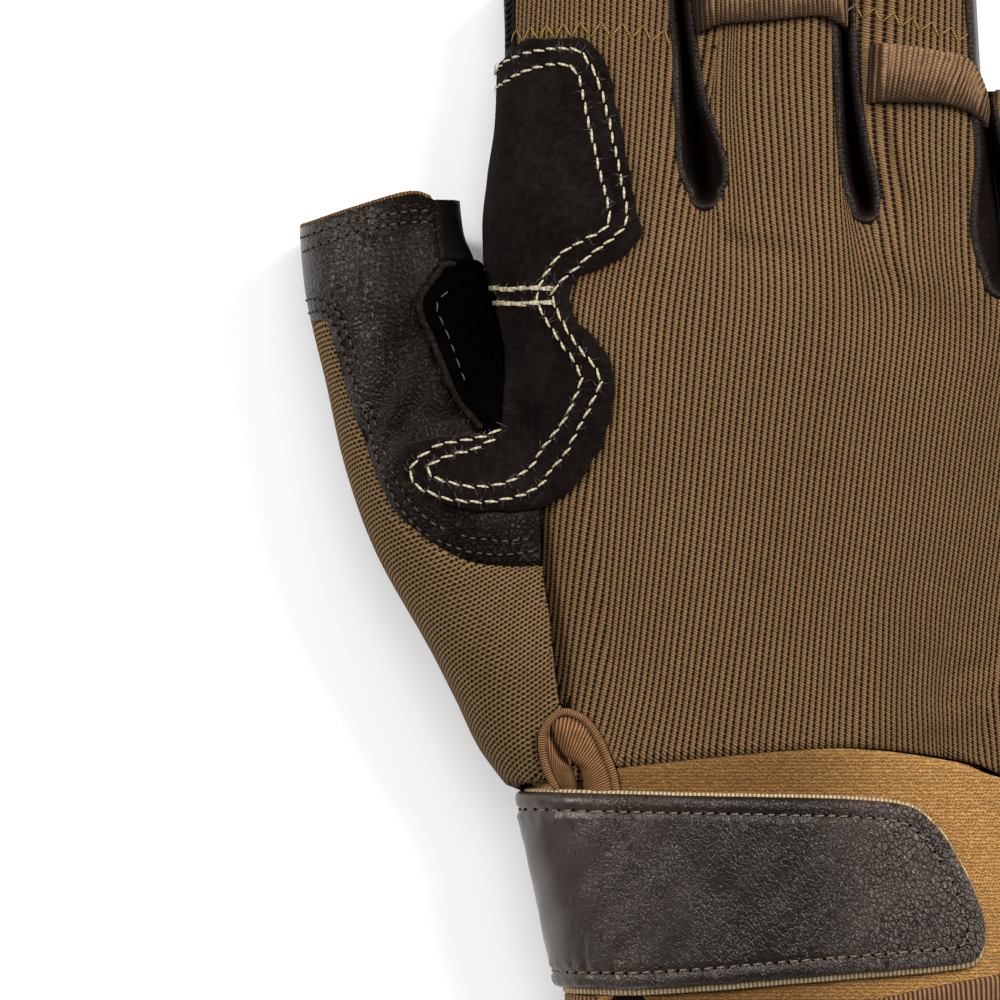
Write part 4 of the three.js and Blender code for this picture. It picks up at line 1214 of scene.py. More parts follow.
# soft creases in the thumb's leather: x, y, turn, reach, width, rise
THUMB_FOLDS = [
    (-71, 12, 62, 16, 1.6, -.45), (-67.5, 20, 75, 14, 1.2, -.4), (-74, 26, 55, 9, 1.3, -.3),
    (-66, 17.5, 62, 9, 1.3, .75), (-64.2, 16.4, 62, 9, 1.1, -.8), (-62, 8, 50, 14, 1.7, -.5),
    (-68, 0, 40, 12, 1.5, -.4), (-58, -2, 30, 10, 1.4, -.45), (-69.5, 14, 100, 18, 1.8, .35),
    (-60, 13.5, -8, 5, 2.2, -.9), (-64, 3.5, 38, 9, 1.6, .6), (-76, 34, 95, 7, 1.3, -.25),
    (-71, 36, 80, 7, 1.1, -.22), (-61, -6, 20, 8, 1.2, .4)]


def thumb_folds(a, y):
    out = np.zeros_like(a)
    for x0, y0, turn, reach, width, high in THUMB_FOLDS:
        c, s = math.cos(math.radians(turn)), math.sin(math.radians(turn))
        dx, dy = a - x0, y - y0
        out += high * np.exp(-((dx * c + dy * s) / reach) ** 2 - ((dy * c - dx * s) / width) ** 2)
    return out


hem_flat = left_part.flatten(thumb_hem_line[thumb_hem_line[:, 0] > -83])
thumb_top = thumb_end_line[(thumb_end_line[:, 0] > -86) & (thumb_end_line[:, 0] < -60.5)]


def make_thumb_leather():
    seam = side_seam(left_part, np.linspace(30.2, 44.5, 16))
    hem = hem_flat[hem_flat[:, 0] > seam[0, 0] + .4][::-1] + [0, GAP]
    inner = np.vstack([shares([(-.599, .269), (-.589, .214), (-.531, .212)]), WEB]) - [GAP, 0]
    down_y = np.linspace(-1.5, -10.8, 8)
    down = np.column_stack([line_x(back_line, down_y) - GAP, down_y])
    outline = np.vstack([hem, seam, left_part.flatten(thumb_top), inner, down])
    thumb = flat_panel("leather_thumb", left_part, outline, LEATHER, relief=thumb_folds, round_off=0.15)
    join(thumb, *turned_edge(np.linspace(-10.9, -.6, 9)))
    settle(thumb, "thumb_leather")


KNIT_CENTRE = np.array([67.8, 49.9])    # the gusset's ribs run towards this place in plan
KNIT_RADIUS = 137.0                     # where they are at their own pitch
KNIT_TIGHT = 1.39                       # ribs to a millimetre there


def make_gusset():
    """Fine knit below the thumb's leather"""
    seam = side_seam(left_part, np.linspace(-48.2, 29.8, 60))
    bottom_x = np.linspace(seam[0, 0], -37.6, 24)
    up_y = np.linspace(-45.0, -11.2, 20)
    up = np.column_stack([line_x(back_line, up_y) - GAP, up_y])
    hem = hem_flat[hem_flat[:, 0] > seam[-1, 0] + .3] - [0, GAP]
    outline = np.vstack([np.column_stack([bottom_x, above_cuff(bottom_x)]), up, hem[::-1], seam[::-1][1:]])
    gusset = flat_panel("knit_gusset", left_part, outline, GUSSET_KNIT, holes=[channel(VENT, VENT_CUT)],
                        bulge=0.2, round_off=0.25)
    # the knit's map turns about the centre of its ribs
    layer = gusset.data.uv_layers["flat"].data
    uv = np.empty(len(layer) * 2)
    layer.foreach_get("uv", uv)
    off = KNIT_CENTRE - uv.reshape(-1, 2)
    turn = np.arctan2(off[:, 1], off[:, 0])
    layer.foreach_set("uv", np.column_stack([turn * KNIT_RADIUS * KNIT_TIGHT, np.linalg.norm(off, axis=1)]).ravel())
    join(gusset, *turned_edge(np.linspace(-46.5, -11.1, 26)))
    settle(gusset, "thumb_gusset")


def make_thumb_strip():
    """Smooth strip on the thumb's side towards the index finger, swollen at its foot"""
    panel = ruled(thumb_only, np.linspace(39.8, 50.0, 14), lambda y: np.full_like(y, -60.3),
                  lambda y: side_seam(thumb_only, y, to_right=True)[:, 0], 26,
                  lambda a, y: 1.5 * np.exp(-((y - 39.5) / 3.4) ** 2) * np.exp(-((a + 53.5) / 3.5) ** 2))
    settle(new_object("strip_thumb_side", *panel, SMOOTH_LEATHER), "thumb_side_strip")


make_thumb_leather()
make_gusset()
make_thumb_strip()

# rows of stitches on the thumb's leather, in picture places
THUMB_ROWS = [
    [(300, 238), (333, 227), (371, 218), (414, 211), (430, 211)],
    [(302, 252), (331, 241), (359, 232), (393, 225), (414, 222), (430, 222)],
    [(305, 300), (316, 299), (335, 309), (342, 321), (348, 336), (359, 364), (371, 407), (385, 454), (400, 486),
     (417, 509), (434, 524), (460, 535), (472, 538), (487, 539), (502, 541), (518, 540), (531, 538)],
    [(308, 313), (321, 311), (330, 319), (340, 338), (348, 367), (364, 407), (376, 454), (390, 490), (406, 515),
     (424, 533), (449, 545), (466, 551), (480, 553), (493, 555), (512, 554), (524, 552), (536, 551)]]


def thumb_details(pitch=1.75):
    edge = left_part.flatten(thumb_top) + [0, .1]
    parts = Parts()
    rope(parts, left_part, edge[edge[:, 0] > left_part.left(edge[:, 1]) - 8], -.42, .4, .3, wobble=.04)
    threads(parts, "thumb_end_trim", TRIM)
    parts = Parts()
    rope(parts, left_part, left_part.flatten(plan([(437, 202), (437.5, 226), (443, 262)])), -.05, .42, .45)
    threads(parts, "thumb_side_fold", LEATHER)
    parts, holes = Parts(), Parts()
    for seed, row in enumerate(THUMB_ROWS, 1):
        line = left_part.flatten(plan(row, 5))
        strokes(parts, left_part, dashes(line, pitch, 1.15, .03, seed=seed), .02, .16, arch=.1)
        half_way = np.diff(resample(line, pitch), axis=0)[:, None] * .5
        strokes(holes, left_part, dashes(line, pitch, .75, seed=seed) + half_way, -.02, .2, arch=.03)
    threads(parts, "thumb_stitches", DIM_THREAD)
    threads(holes, "thumb_needle_holes", HOLE)
    parts = Parts()
    whip = plan([(446, 292), (435, 301), (434, 313), (441, 330), (448, 347), (455, 366), (463, 386)], 5)
    strokes(parts, left_part, dashes(left_part.flatten(whip), 2.5, 1.7, .05, seed=6), PATCH_TOP + .02, .15, arch=.14)
    threads(parts, "inner_patch_stitches", DIM_THREAD)


# ---------------------------------------------------------------- palm side
def make_palm():
    under = Chart(HAND, hand_left, hand_right, side=-1)
    turn = math.pi - SEAM_TURN
    right = side_seam(under, np.linspace(-48.2, 68.3, 60), to_right=True, turn=turn)
    left = side_seam(under, np.linspace(-48.2, 86.4, 60), turn=turn)
    bottom_x = np.linspace(left[0, 0], right[0, 0], 60)
    outline = np.vstack([np.column_stack([bottom_x, above_cuff(bottom_x)]), right[1:], FINGER_ENDS, left[::-1][:-1]])
    A, Y = box_grid(outline, 1.6)
    parts = Parts()
    parts.add(*cut_panel(under, A, Y, outline, [channel(rows, RIM - .1, top=120) for rows in SLOTS.values()],
                         -WALL, 0, 0.2, None, np.stack([A, Y], -1), 1.7))
    # the thumb's underside, which ends inside the hand
    parts.add(*ruled(thumb_under, np.linspace(-48, 44.5, 62), lambda y: side_seam(thumb_under, y, turn=turn)[:, 0],
                     lambda y: np.minimum(side_seam(thumb_under, y, to_right=True, turn=turn)[:, 0],
                                          hand_left(y) + 16 + np.maximum(y - 34, 0) * 2), 34))
    CUTS["leather_palm"] = cut_size(outline)
    settle(parts.make("leather_palm", PALM_LEATHER), "palm_panel")


make_palm()


# ---------------------------------------------------------------- slots between the fingers
def top_height(x, y, tubes=HAND):
    return surface(tubes, x, 12.0, 0.0, 1.0, y)[:, 2]


def bottom_height(x, y):
    return surface(HAND, x, 12.0, 0.0, -1.0, y)[:, 2]


WHIP, WHIP_STEP = 0.84, 0.21    # pitch of the stitches over a rim, and how finely a rim is drawn
# a rim's section: how far into the slot, and how far above or below the knit
RIM_PROFILE = [(-.75, -1.1), (-.5, -.45), (-.2, .0), (.1, .22), (.4, .24), (.75, -.05), (1.08, -.55), (1.34, -1.4)]
# a wall's section: share of the way to the slot's middle, and the drop, from the rim to the edge of the palm's cut
WALL_PROFILE = [(.12, -2.8), (.4, -4.6), (.72, -6.8), (.93, -9.2), (1.0, -12.0), (.8, -14.5), (.35, -17.5), (.0, -20.0)]
WALL_THICK = .35


def mid_line(rows):
    t = np.array(rows, float)
    return np.column_stack([t[:, 1] * BREADTH, t[:, 0] * LENGTH])


def make_fourchette(name, rows, right_end, left_end):
    """The leather walls of one slot, with a rolled rim and whip stitches over it"""
    first = rows[0][0] * LENGTH

    def middle_at(y):
        return line_x(mid_line(rows), y)

    cut = channel(rows, RIM, top=120, steps=16)
    cut = cut[~((cut[:, 1] > right_end) & (cut[:, 0] > middle_at(cut[:, 1])))]
    cut = cut[~((cut[:, 1] > left_end) & (cut[:, 0] < middle_at(cut[:, 1])))]
    # start on the right finger, round the tip, to the left finger
    on_right, past_tip = cut[:, 0] > middle_at(cut[:, 1]), cut[:, 1] >= first
    right, left, tip = cut[on_right & past_tip], cut[~on_right & past_tip], cut[~past_tip]
    line = np.vstack([right[np.argsort(-right[:, 1])], tip[np.argsort(-tip[:, 0])], left[np.argsort(left[:, 1])]])
    line = resample(line, WHIP_STEP)
    d = unit(np.gradient(line, axis=0))
    inward = np.column_stack([d[:, 1], -d[:, 0]])
    middle = middle_at(line[:, 1])
    inward[np.where(line[:, 1] < first + .1, inward[:, 1] < 0, (middle - line[:, 0]) * inward[:, 0] < 0)] *= -1
    z, zb = (height(*(line - inward * .3).T) for height in (top_height, bottom_height))
    run = np.arange(len(line)) * WHIP_STEP
    pull = 0.13 * np.cos(np.pi * run / WHIP) ** 8
    # the walls slope towards the slot's middle as they go down
    aim_y = np.maximum(line[:, 1], first + 1.6)
    aim = np.column_stack([middle_at(aim_y), aim_y])
    half = np.maximum(np.linalg.norm(aim - line, axis=1), .5)
    towards = (aim - line) / half[:, None]
    last = half + .04
    rim = np.minimum(1.0, last / 1.75)
    rings = []
    for off, rise in RIM_PROFILE:
        way = inward if off < .9 else (inward + towards) / 2
        top = z + rise - (pull if -.2 < off < 1.3 and rise > -.2 else 0)
        reach = off * (rim if off > 0 else np.ones(len(line)))
        rings.append(np.column_stack([line + way * reach[:, None], np.maximum(top, zb + 1.2)]))
    start = RIM_PROFILE[-1][0] * rim
    deep = z - zb - .5                          # height of the wall over the palm
    drop = np.minimum(1.0, deep / 20.0)
    low_end = np.maximum(0.0, deep - 20.0)
    # down the outer face, and back up to the rim on the inner one
    for profile, behind in ((WALL_PROFILE, 0), (WALL_PROFILE[::-1], WALL_THICK)):
        for share, fall in profile:
            low = fall < -12
            near = .3 if low and share < .9 else start
            reach = near + (last - near) * share - behind
            level = z + fall * drop - (low_end * (-fall - 12) / 8 if low else 0) + (.05 if behind and not share else 0)
            rings.append(np.column_stack([line + towards * reach[:, None], level]))
    v, f = sweep(np.stack(rings, 1))
    k = len(rings)
    uv = np.column_stack([np.repeat(run, k), np.tile(np.arange(k), len(run))])
    settle(new_object("slot_" + name, v, f, uv, FOURCHETTE), "fourchette_" + name)
    # whip stitches over the rim
    parts = Parts()
    per = int(round(WHIP / WHIP_STEP))
    t = np.linspace(0, 1, 6)
    r = .11 * np.sin(np.pi * np.clip(t, .06, .94)) ** .5
    for i in range(per // 2, len(line), per):
        if z[i] < 8:
            continue
        along = np.array([-inward[i, 1], inward[i, 0], 0])
        mid = np.column_stack([line[i] + inward[i] * (.42 + .42 * t[:, None]) * rim[i],
                               z[i] + .2 - .3 * t + .1 * np.sin(np.pi * t) ** .6]) + along * (t - .5)[:, None] * .25
        parts.add(*sweep(tube_rings(mid, along, np.array([0, 0, 1.0]), r, 6)))
    threads(parts, "slot_whip_" + name, WHIP_THREAD)


make_fourchette("index", SLOTS["index"], MIDDLE_END, INDEX_END)
make_fourchette("middle", SLOTS["middle"], RING_END, MIDDLE_END)
make_fourchette("ring", SLOTS["ring"], PINKY_END, RING_END)


# ---------------------------------------------------------------- suede patches
PATCH_FOOT, PATCH_TOP = .25, 1.4    # a patch's two faces above the form


def offset_line(line, d):
    """A closed line moved outwards"""
    t = unit(np.roll(line, -1, 0) - np.roll(line, 1, 0))
    return line + np.column_stack([t[:, 1], -t[:, 0]]) * (1 if area_of(line) > 0 else -1) * d


SIDE_PATCH = shares([
    (-.66, .345), (-.56, .355), (-.503, .372), (-.489, .387), (-.473, .4), (-.452, .4125), (-.404, .414),
    (-.358, .413), (-.332, .401), (-.317, .381), (-.299, .335), (-.276, .268), (-.266, .243), (-.272, .23),
    (-.299, .217), (-.353, .205), (-.376, .194), (-.381, .18), (-.372, .163), (-.347, .148), (-.322, .131),
    (-.309, .113), (-.311, .081), (-.325, .055), (-.34, .038), (-.37, .014), (-.421, -.004), (-.48, -.009),
    (-.538, -.008), (-.597, .001), (-.647, .017), (-.657, .032), (-.639, .047), (-.606, .055), (-.538, .057),
    (-.500, .063), (-.494, .075), (-.491, .1), (-.492, .14), (-.491, .185), (-.51, .2), (-.60, .215), (-.66, .26)])
patch_line = smooth_line(side_chart.flatten(SIDE_PATCH), 5, closed=True)
# the cut edge wanders a little
patch_run = np.cumsum(np.linalg.norm(np.diff(patch_line, axis=0, prepend=patch_line[-1:]), axis=1))
patch_line = offset_line(patch_line, (.13 * np.sin(patch_run * 1.27) + .1 * np.sin(patch_run * .71 + 1)
                                      + .06 * np.sin(patch_run * 2.6 + 2))[:, None])


settle(flat_panel("patch_beside_index", side_chart, patch_line, SUEDE, 0.8, low=PATCH_FOOT, high=PATCH_TOP, bulge=0.3,
                  round_off=0.3), "index_side_patch")
PATCH_OUTER = [(500, 75), (520, 57), (555, 50), (580, 52), (590, 65), (602, 93), (612, 140), (620, 180), (626, 215),
               (625, 230), (600, 250), (575, 270), (560, 285), (555, 300), (575, 340), (601, 374), (601, 388),
               (596, 400), (587, 418), (573, 446), (556, 469), (536, 489), (513, 498), (487, 503), (466, 502),
               (441, 497), (424, 489), (412, 477), (413, 467), (421, 457), (441, 445), (466, 441), (487, 437),
               (498, 431)]
PATCH_INNER = [(500, 90), (530, 72), (555, 66), (573, 68), (580, 80), (590, 130), (600, 175), (609, 215), (605, 231),
               (580, 243), (560, 258), (545, 280), (540, 302), (555, 330), (583, 372), (582, 388), (577, 400),
               (564, 426), (548, 447), (527, 470), (502, 484), (478, 488), (449, 483), (432, 476), (428, 467),
               (446, 457), (466, 453), (480, 447), (493, 441)]


def patch_seams():
    outer = side_chart.flatten(plan(PATCH_OUTER, 5))
    inner = side_chart.flatten(plan(PATCH_INNER, 5))
    parts, dark, hair = Parts(), Parts(), Parts()
    for line, seed in ((outer, 11), (inner, 12)):
        rope(dark, side_chart, line, 1.28, .28, .6, 6, squash=.5)
        strokes(parts, side_chart, dashes(line, 2.35, 2.2, .06, -9, seed), 1.42, .22, arch=.2, rings=9, sides=8)
        fibres(hair, side_chart, line, 1.45, 130, 2.2, .02, seed=seed)
    for y, seed in ((288, 21), (303, 22)):
        line = side_chart.flatten(plan([(499, y - 1), (515, y), (535, y + .5), (556, y - .5)], 5))
        rope(parts, side_chart, line, 1.42, .24, .3, 7, wobble=.2, seed=seed)
        for aside, turn in ((0, 0), (.17, 9), (-.17, -9)):
            strokes(parts, side_chart, dashes(line + [0, aside], 2.1, 2.0, .1, turn, seed), 1.58, .19, arch=.22)
        fibres(hair, side_chart, line, 1.6, 60, 1.7, .022, seed=seed)
    threads(parts, "patch_stitches", CREAM)
    threads(dark, "patch_stitch_groove", HOLE)
    threads(hair, "patch_loose_fibres", HAIR)
    # zigzag rows at the ends of the index and ring fingers
    parts = Parts()
    line = side_chart.flatten(plan([(512, 36), (560, 31), (610, 30), (650, 34), (672, 40)], 5))
    strokes(parts, side_chart, zigzag(line, 3.5, 2.4), .14, .14, arch=.14)
    line = hand.flatten(plan([(845, 8), (905, 22), (968, 38)], 5))
    strokes(parts, hand, zigzag(line, 3.33, 2.0), .14, .14, arch=.14)
    threads(parts, "finger_zigzag", TAN_THREAD)


patch_seams()
INNER_PATCH = px([(436, 268), (433, 278), (421, 295), (417, 307), (421, 323), (428, 338), (436, 357), (445, 380),
                  (455, 402), (467, 417), (479, 431), (488, 437), (496, 430), (499, 405), (501, 374), (502, 340),
                  (499, 316), (496, 302), (488, 290), (481, 276), (474, 262), (462, 265), (448, 264)])


def make_inner_patch():
    line = smooth_line(INNER_PATCH, 5, closed=True)
    obj = flat_panel("patch_in_thumb", left_part, line, SHADED_SUEDE, 0.7, low=PATCH_FOOT, high=PATCH_TOP, bulge=0.3,
                     round_off=0.3)
    settle(obj, "thumb_inner_patch")
    parts = Parts()
    edge = left_part.flatten(plan([(452, 265), (440, 267), (434, 277), (422, 294), (418.5, 307), (422, 322),
                                   (429, 337), (437, 356), (446, 379), (456, 401), (468, 416), (480, 430)], 5))
    rope(parts, left_part, edge, .95, .6, .45, 8, wobble=.06)
    threads(parts, "inner_patch_edge", FUZZ)


make_inner_patch()
thumb_details()


# ---------------------------------------------------------------- cuff, hem tape and vent
def vent_edge(y, grow, side):
    t = np.array(VENT, float)[::-1] * [LENGTH, BREADTH, BREADTH]
    return curve(t, 1, y) + side * (curve(t, 2, y) + grow)


def girth(chart, y):
    """Length once round a chart"""
    return 2 * (chart.right(y) - chart.left(y) - 2 * chart.radius) + 2 * np.pi * chart.radius


def ring_columns(chart, y_start, y_end, grow, n):
    """Flat coordinates once round the wrist, from the slit's right edge to its left"""
    start = vent_edge(y_start, grow, 1)
    stop = vent_edge(y_end, grow, -1) + girth(chart, y_end)
    return start[:, None] + (stop - start)[:, None] * np.linspace(0, 1, n)[None]


def top_x(chart, a, y):
    """X seen from above of flat coordinates, for lines drawn in plan"""
    r = chart.radius
    xl, xr = chart.left(y) + r, chart.right(y) - r
    wide, quarter = xr - xl, np.pi * r / 2
    t = np.mod(a - xl + quarter, girth(chart, y)) - quarter
    to_left = xl + r * np.sin(np.clip(t / r, -np.pi / 2, 0))
    to_right = xr + r * np.sin(np.clip((t - wide) / r, 0, np.pi / 2))
    over = np.where(t < 0, to_left, np.where(t <= wide, xl + t, to_right))
    return np.where(t > wide + quarter, np.clip(xr - (t - wide - 2 * quarter), xl - r, xr + r), over)


CUFF_MIDDLE, HEM_LEVEL = np.array([-67.0]), np.array([-86.0])    # where the cuff's and the hem's columns are laid out


def make_cuff(rows=36, n=250):
    columns = ring_columns(wrist, CUFF_MIDDLE, CUFF_MIDDLE, VENT_CUT, n)[0]
    x = top_x(wrist, columns, np.repeat(CUFF_MIDDLE, n))
    top, bottom = line_y(cuff_line, x) - GAP, line_y(hem_line, x)
    Y = bottom[None] + (top - bottom)[None] * np.linspace(0, 1, rows)[:, None]
    # the way round changes with y, so each row is laid out for its own
    A = ring_columns(wrist, Y[:, 0], Y[:, -1], VENT_CUT, n)
    p = wrist.points(A, Y)
    panel = grid_shell(p, gradient_normals(p), np.ones((rows - 1, n - 1), bool), -BACK_WALL, 0, 0.15,
                       np.stack([A, Y], -1))
    settle(new_object("knit_cuff", *panel, CUFF_KNIT), "cuff")
    wide, tall = A[0, -1] - A[0, 0], Y[-1] - Y[0]
    CUTS["knit_cuff"] = (wide, tall.max(), wide * tall.mean())


make_cuff()

# the hem tape's section: along the glove from the hem's line, and off the cuff
TAPE_PROFILE = [(5.3, .25), (5.2, .85), (4.6, 1.1), (3.4, 1.15), (2, 1.2), (.6, 1.15), (-.4, .8), (-.95, .1),
                (-1.1, -.7), (-.95, -1.5), (-.4, -2.2), (.8, -2.5), (3, -2.5), (5.2, -2.5), (5.3, -1.8), (1, -1.75),
                (-.2, -1.6), (-.4, -.7), (-.2, .15), (1, .25)]


def make_hem_tape(n=260):
    columns = ring_columns(wrist, HEM_LEVEL, HEM_LEVEL, 1.6, n)[0]
    hem = line_y(hem_line, top_x(wrist, columns, np.repeat(HEM_LEVEL, n)))
    rings = []
    for along, off in TAPE_PROFILE:
        p, normal = wrist.frame(columns, hem + max(along, -.2))
        q = p + normal * off
        q[:, 1] += min(along + .2, 0)
        rings.append(q)
    uv = np.column_stack([np.repeat(columns, len(rings)), np.tile([along - off for along, off in TAPE_PROFILE], n)])
    settle(new_object("tape_hem", *sweep(np.stack(rings, 1)), uv, GROSGRAIN), "cuff_binding")


make_hem_tape()


VENT_EDGE = [(557, 803), (554, 792), (546, 777), (540, 759), (538, 741), (541, 727), (550, 714), (561, 708),
             (572, 709), (583, 714), (593, 723), (602, 737), (610, 755), (617, 774), (620, 792), (621, 803)]
VENT_SLIT = [(549, 706), (550, 722), (551, 735), (556, 746), (561, 755), (569, 762), (577, 767), (580, 777),
             (581, 788), (582, 806)]


def make_vent(step=.35, corners=12):
    """The bound edge; gives the line that its middle follows"""
    outer = resample(plan(VENT_EDGE, 6), step)
    d = unit(np.gradient(outer, axis=0))
    side = np.column_stack([d[:, 1], -d[:, 0]])
    side *= np.sign(((px([(579, 765)])[0] - outer) * side).sum(1, keepdims=True))
    path = outer + side * .62
    z = top_height(path[:, 0], path[:, 1], ALL)
    rings = [np.column_stack([path + side * .64 * math.cos(turn), z + .1 + .75 * math.sin(turn)])
             for turn in np.linspace(0, 2 * np.pi, corners, endpoint=False)]
    n = len(path)
    uv = np.column_stack([np.repeat(np.arange(n) * step, corners), np.tile(np.arange(corners) * .4, n)])
    settle(new_object("tape_vent", *sweep(np.stack(rings, 1)), uv, VENT_TAPE), "vent_binding")
    return path


vent_centre_line = make_vent()


def make_puffs(rows=64, columns=69):
    """Two soft folded lobes that meet at the slit"""
    tip = np.argmax(vent_centre_line[:, 1])
    top = vent_centre_line[tip, 1]
    ys = np.linspace(-52.6, top - .15, rows)
    t = np.linspace(-1, 1, columns)
    xl, xr = line_x(vent_centre_line[:tip + 1], ys), line_x(vent_centre_line[tip:], ys)
    centre = np.clip(line_x(plan(VENT_SLIT, 6), ys), xl + .25, xr - .25)
    X = centre[:, None] + np.where(t < 0, (centre - xl)[:, None], (xr - centre)[:, None]) * t
    Y = np.repeat(ys[:, None], columns, 1)
    z = top_height(X.ravel(), Y.ravel(), ALL).reshape(X.shape)
    fall = np.abs(t)[None]
    deep = np.interp(ys, [-53, -44.0, -41.6, -39.8, -38.5, -36], [1, 1, .75, .55, .25, .1])[:, None]
    lobe = np.clip(1 - (1.75 * fall - .75) ** 2, 0, 1) ** .6
    rise = np.where(t > 0, 1.9, 1.1) * lobe - 3.2 * deep * np.exp(-(fall / .16) ** 2) - .6
    (hole_x, hole_y), hub = px([(551, 735), (556, 806)])
    dimple = .9 * np.exp(-((X - hole_x) ** 2 + (Y - hole_y) ** 2) / .5)
    crown = np.clip((top - ys) / 3.0, 0, 1)[:, None] ** .5
    p = np.stack([X, Y, z - .2 + rise * crown - .9 * (1 - crown) - dimple], -1)
    # the ribs fan out from a hub below the slit
    uv = np.stack([np.arctan2(Y - hub[1], X - hub[0]) * 8.6, np.hypot(X - hub[0], Y - hub[1])], -1)
    panel = grid_shell(p, gradient_normals(p), np.ones((rows - 1, columns - 1), bool), -.8, 0, .1, uv)
    settle(new_object("lobes_vent", *panel, LOBE_TAPE), "vent_gusset")


make_puffs()


# ---------------------------------------------------------------- strap
STRAP = shares([(-.62, -.264), (-.469, -.264), (-.3, -.2655), (-.168, -.267), (.031, -.269), (.12, -.2715),
                (.155, -.274), (.179, -.2775), (.197, -.284), (.229, -.303), (.25, -.323), (.267, -.34),
                (.278, -.354), (.286, -.366), (.292, -.378), (.294, -.388), (.292, -.398), (.285, -.405),
                (.268, -.412), (.135, -.419), (-.021, -.426), (-.18, -.433), (-.284, -.436), (-.408, -.435),
                (-.52, -.433), (-.62, -.43)])


def strap_flat():
    """The strap's outline in flat coordinates: its wrist end runs on round the thumb side and under"""
    over = smooth_line(STRAP, 5)
    ys = np.linspace(STRAP[-1, 1] + .3, STRAP[0, 1] - .1, 30)
    return np.vstack([wrist.flatten(over[over[:, 0] > -50]), side_seam(wrist, ys, turn=np.pi) - [14.0, 0]])


strap_line = resample(strap_flat(), 1.0, closed=True)
STITCH_IN = 2.45      # from the strap's edge to its stitching
PUCKER = 2.15         # pitch of the puckers outside it
STRAP_FOOT, STRAP_TOP = 1.3, 2.75    # the leather's two faces above the form
# creases in the strap: two ends in picture places, width and rise in millimetres
STRAP_CREASES = [((607, 817), (612, 850), .3, -.3), ((612, 850), (612, 905), .3, -.25),
                 ((619, 820), (634, 850), .3, -.3), ((634, 850), (640, 880), .3, -.25),
                 ((592, 935), (594, 968), .3, -.3), ((628, 935), (618, 965), .3, -.3),
                 ((640, 925), (632, 945), .3, -.2), ((605, 905), (610, 940), .3, -.2)]


def strap_waves(a, y):
    """Slight waves of a used strap"""
    return (.2 * np.sin(a * .16 + 1.2) * np.sin(y * .19 + .5) + .1 * np.sin(a * .43 + y * .31)
            + .07 * np.sin(a * .8 - y * .6 + 1))


def strap_relief(a, y):
    """Waves, the groove of the stitching, the puckered band outside it, and creases"""
    _, d = nearest(np.column_stack([a.ravel(), y.ravel()]), [strap_line])
    d = d.reshape(a.shape)
    along = (a + y * .4) * np.pi / PUCKER
    out = strap_waves(a, y) - .5 * np.exp(-((d - STITCH_IN) / .45) ** 2)
    out += np.clip((STITCH_IN - .3 - d) / .5, 0, 1) * (.12 - .3 * (1 - np.abs(np.sin(along)) ** .35))
    out += .16 * np.exp(-((d - STITCH_IN - 1.2) / .8) ** 2) * np.sin(along * 2)
    return out + ridges(a, y, STRAP_CREASES)


def strap_seam():
    """The stitching's line in flat coordinates, open at the end that runs under the wrist"""
    inner = resample(offset_line(strap_line, -STITCH_IN), .5, closed=True)
    turned = np.roll(inner, -int(np.argmin(inner[:, 0])), 0)
    return turned[turned[:, 0] > strap_line[:, 0].min() + 6]


def make_strap():
    under = resample(offset_line(strap_line, .6), 1.0, closed=True)
    under[:, 1] -= np.where(under[:, 1] < -65, .75, .0)
    felt = flat_panel("felt_strap", wrist, under, BACKING, 1.2, low=.25, high=1.25, bulge=.3, relief=strap_waves)
    settle(felt, "strap_backing")
    top = flat_panel("leather_strap", wrist, strap_line, STRAP_LEATHER, .55, low=STRAP_FOOT, high=STRAP_TOP, bulge=.45,
                     relief=strap_relief, round_off=.4)
    settle(top, "wrist_strap")
    parts, dark = Parts(), Parts()
    ends = dashes(strap_seam(), 2.0, 1.5, .03, 7, 9)
    wave = strap_waves(*ends.mean(1).T)
    # the stitches lie in a groove, in groups that share a height
    for group in np.array_split(np.argsort(wave), 12):
        lift = STRAP_TOP - .42 + wave[group].mean()
        strokes(parts, wrist, ends[group], lift, .16, arch=.18)
        foot, step = ends[group, 1], (ends[group, 1] - ends[group, 0]) * .67
        strokes(dark, wrist, np.stack([foot - step * .22, foot + step * .42], 1), lift - .04, .27, arch=.08)
    threads(parts, "strap_stitches", STRAP_THREAD)
    threads(dark, "strap_needle_holes", HOLE)


make_strap()


# ---------------------------------------------------------------- pull loops
RIB = .78             # pitch of a loop's ribs


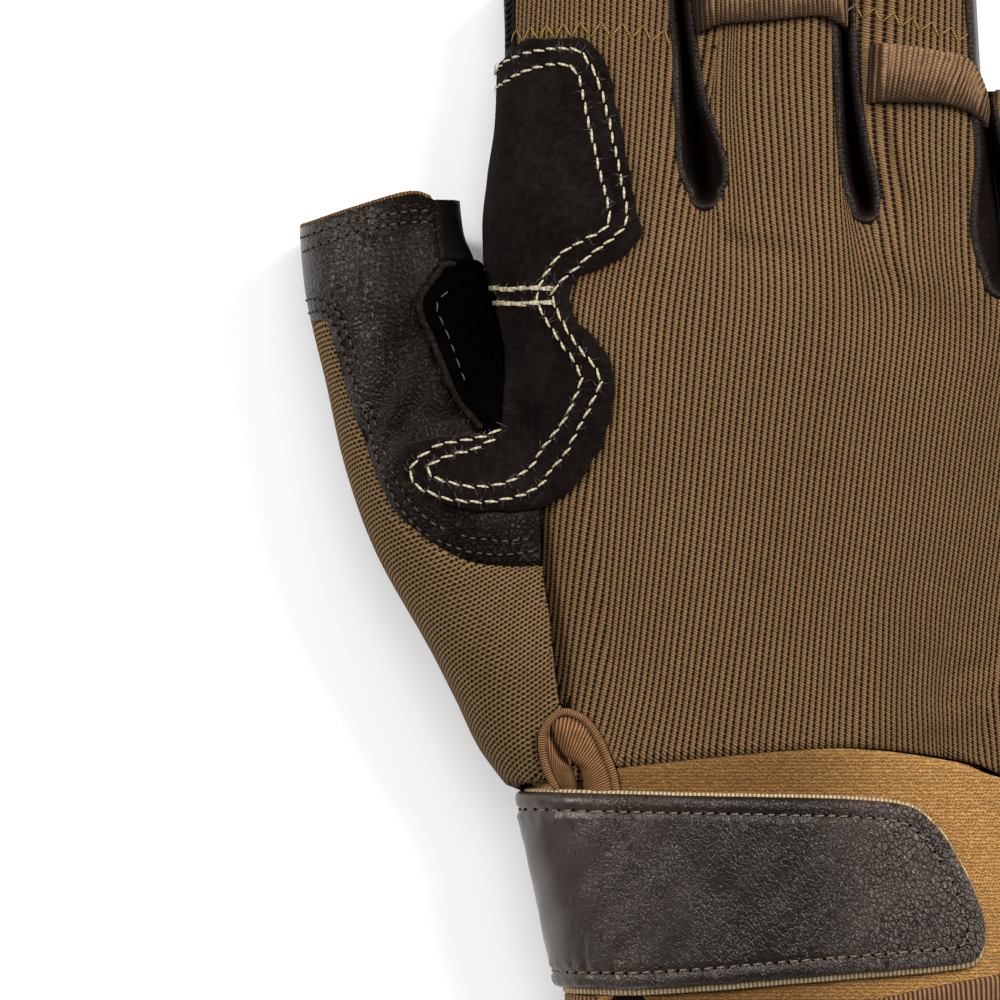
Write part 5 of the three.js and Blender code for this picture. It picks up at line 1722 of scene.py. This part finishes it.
def make_loop(name, upper, lower, dive, waves, rows=20, m=150):
    """A ribbed band over a finger, ruled between its two edges, that dives into the slots at both ends"""
    U, L = resample_to(plan(upper, 8), m), resample_to(plan(lower, 8), m)
    w = np.linspace(0, 1, rows)[:, None]
    X, Y = (L[:, k] * (1 - w) + U[:, k] * w for k in (0, 1))
    wide = np.linalg.norm(U - L, axis=1).mean()
    run = run_along((U + L) / 2)
    z = top_height(X.ravel(), Y.ravel()).reshape(X.shape)
    z = np.maximum(z, np.percentile(z, 75) - 2.2)
    kernel = np.hanning(25) / np.hanning(25).sum()
    z = np.array([np.convolve(row, kernel, "valid") for row in np.pad(z, ((0, 0), (12, 12)), mode="edge")])

    def near(way, reach):
        return np.clip(1 - way / reach, 0, 1) ** 1.6

    stand = (1.0 + .55 * np.sin(np.pi * np.linspace(0, 1, m)) - dive[0] * near(run, dive[1])
             - dive[2] * near(run[-1] - run, dive[3]))
    for at, high, width in waves:
        stand = stand + high * np.exp(-((run - at) / width) ** 2)
    ribs = np.cos(2 * np.pi * run / RIB)
    edge = np.array([-1.0, -.5] + [0] * (rows - 4) + [.5, 1.0])[:, None]
    p = np.stack([X, Y + .16 * ribs * edge, z + stand + .09 * ribs - .35 * (2 * w - 1) ** 6], -1)
    n = gradient_normals(p)
    n *= np.sign(n[..., 2:3] + 1e-9)
    uv = np.stack([np.repeat(run[None], rows, 0), np.repeat(w * wide, m, 1)], -1)
    panel = grid_shell(p, n, np.ones((rows - 1, m - 1), bool), -.15, .75, .2, uv)
    settle(new_object("band_" + name, *panel, LOOP_TAPE), name)
    CUTS["band_" + name] = (run[-1], wide, run[-1] * wide)


make_loop("middle_pull_loop",
          [(688, -20), (700, -26), (717, -31), (762, -35), (802, -39), (823, -38), (839, -33), (850, -24)],
          [(690, 42), (699, 36), (717, 24), (762, 20), (802, 16), (823, 15), (839, 22), (848, 34)],
          (6.5, 3.6, 6.5, 2.6), [(4.6, .5, 1.2)])
make_loop("ring_pull_loop",
          [(855, 50), (866, 48), (880, 46), (904, 48), (938, 54), (962, 59), (974, 68), (983, 92), (987, 113)],
          [(856, 112), (867, 105), (880, 101), (904, 101), (938, 102), (960, 107), (973, 112), (981, 119), (985, 127)],
          (7.5, 4.6, 5.5, 3.4), [(4.4, .55, .9), (5.8, -.2, .8), (16.5, .45, 1.2)])


# ---------------------------------------------------------------- sheets and size
declare_sheets()
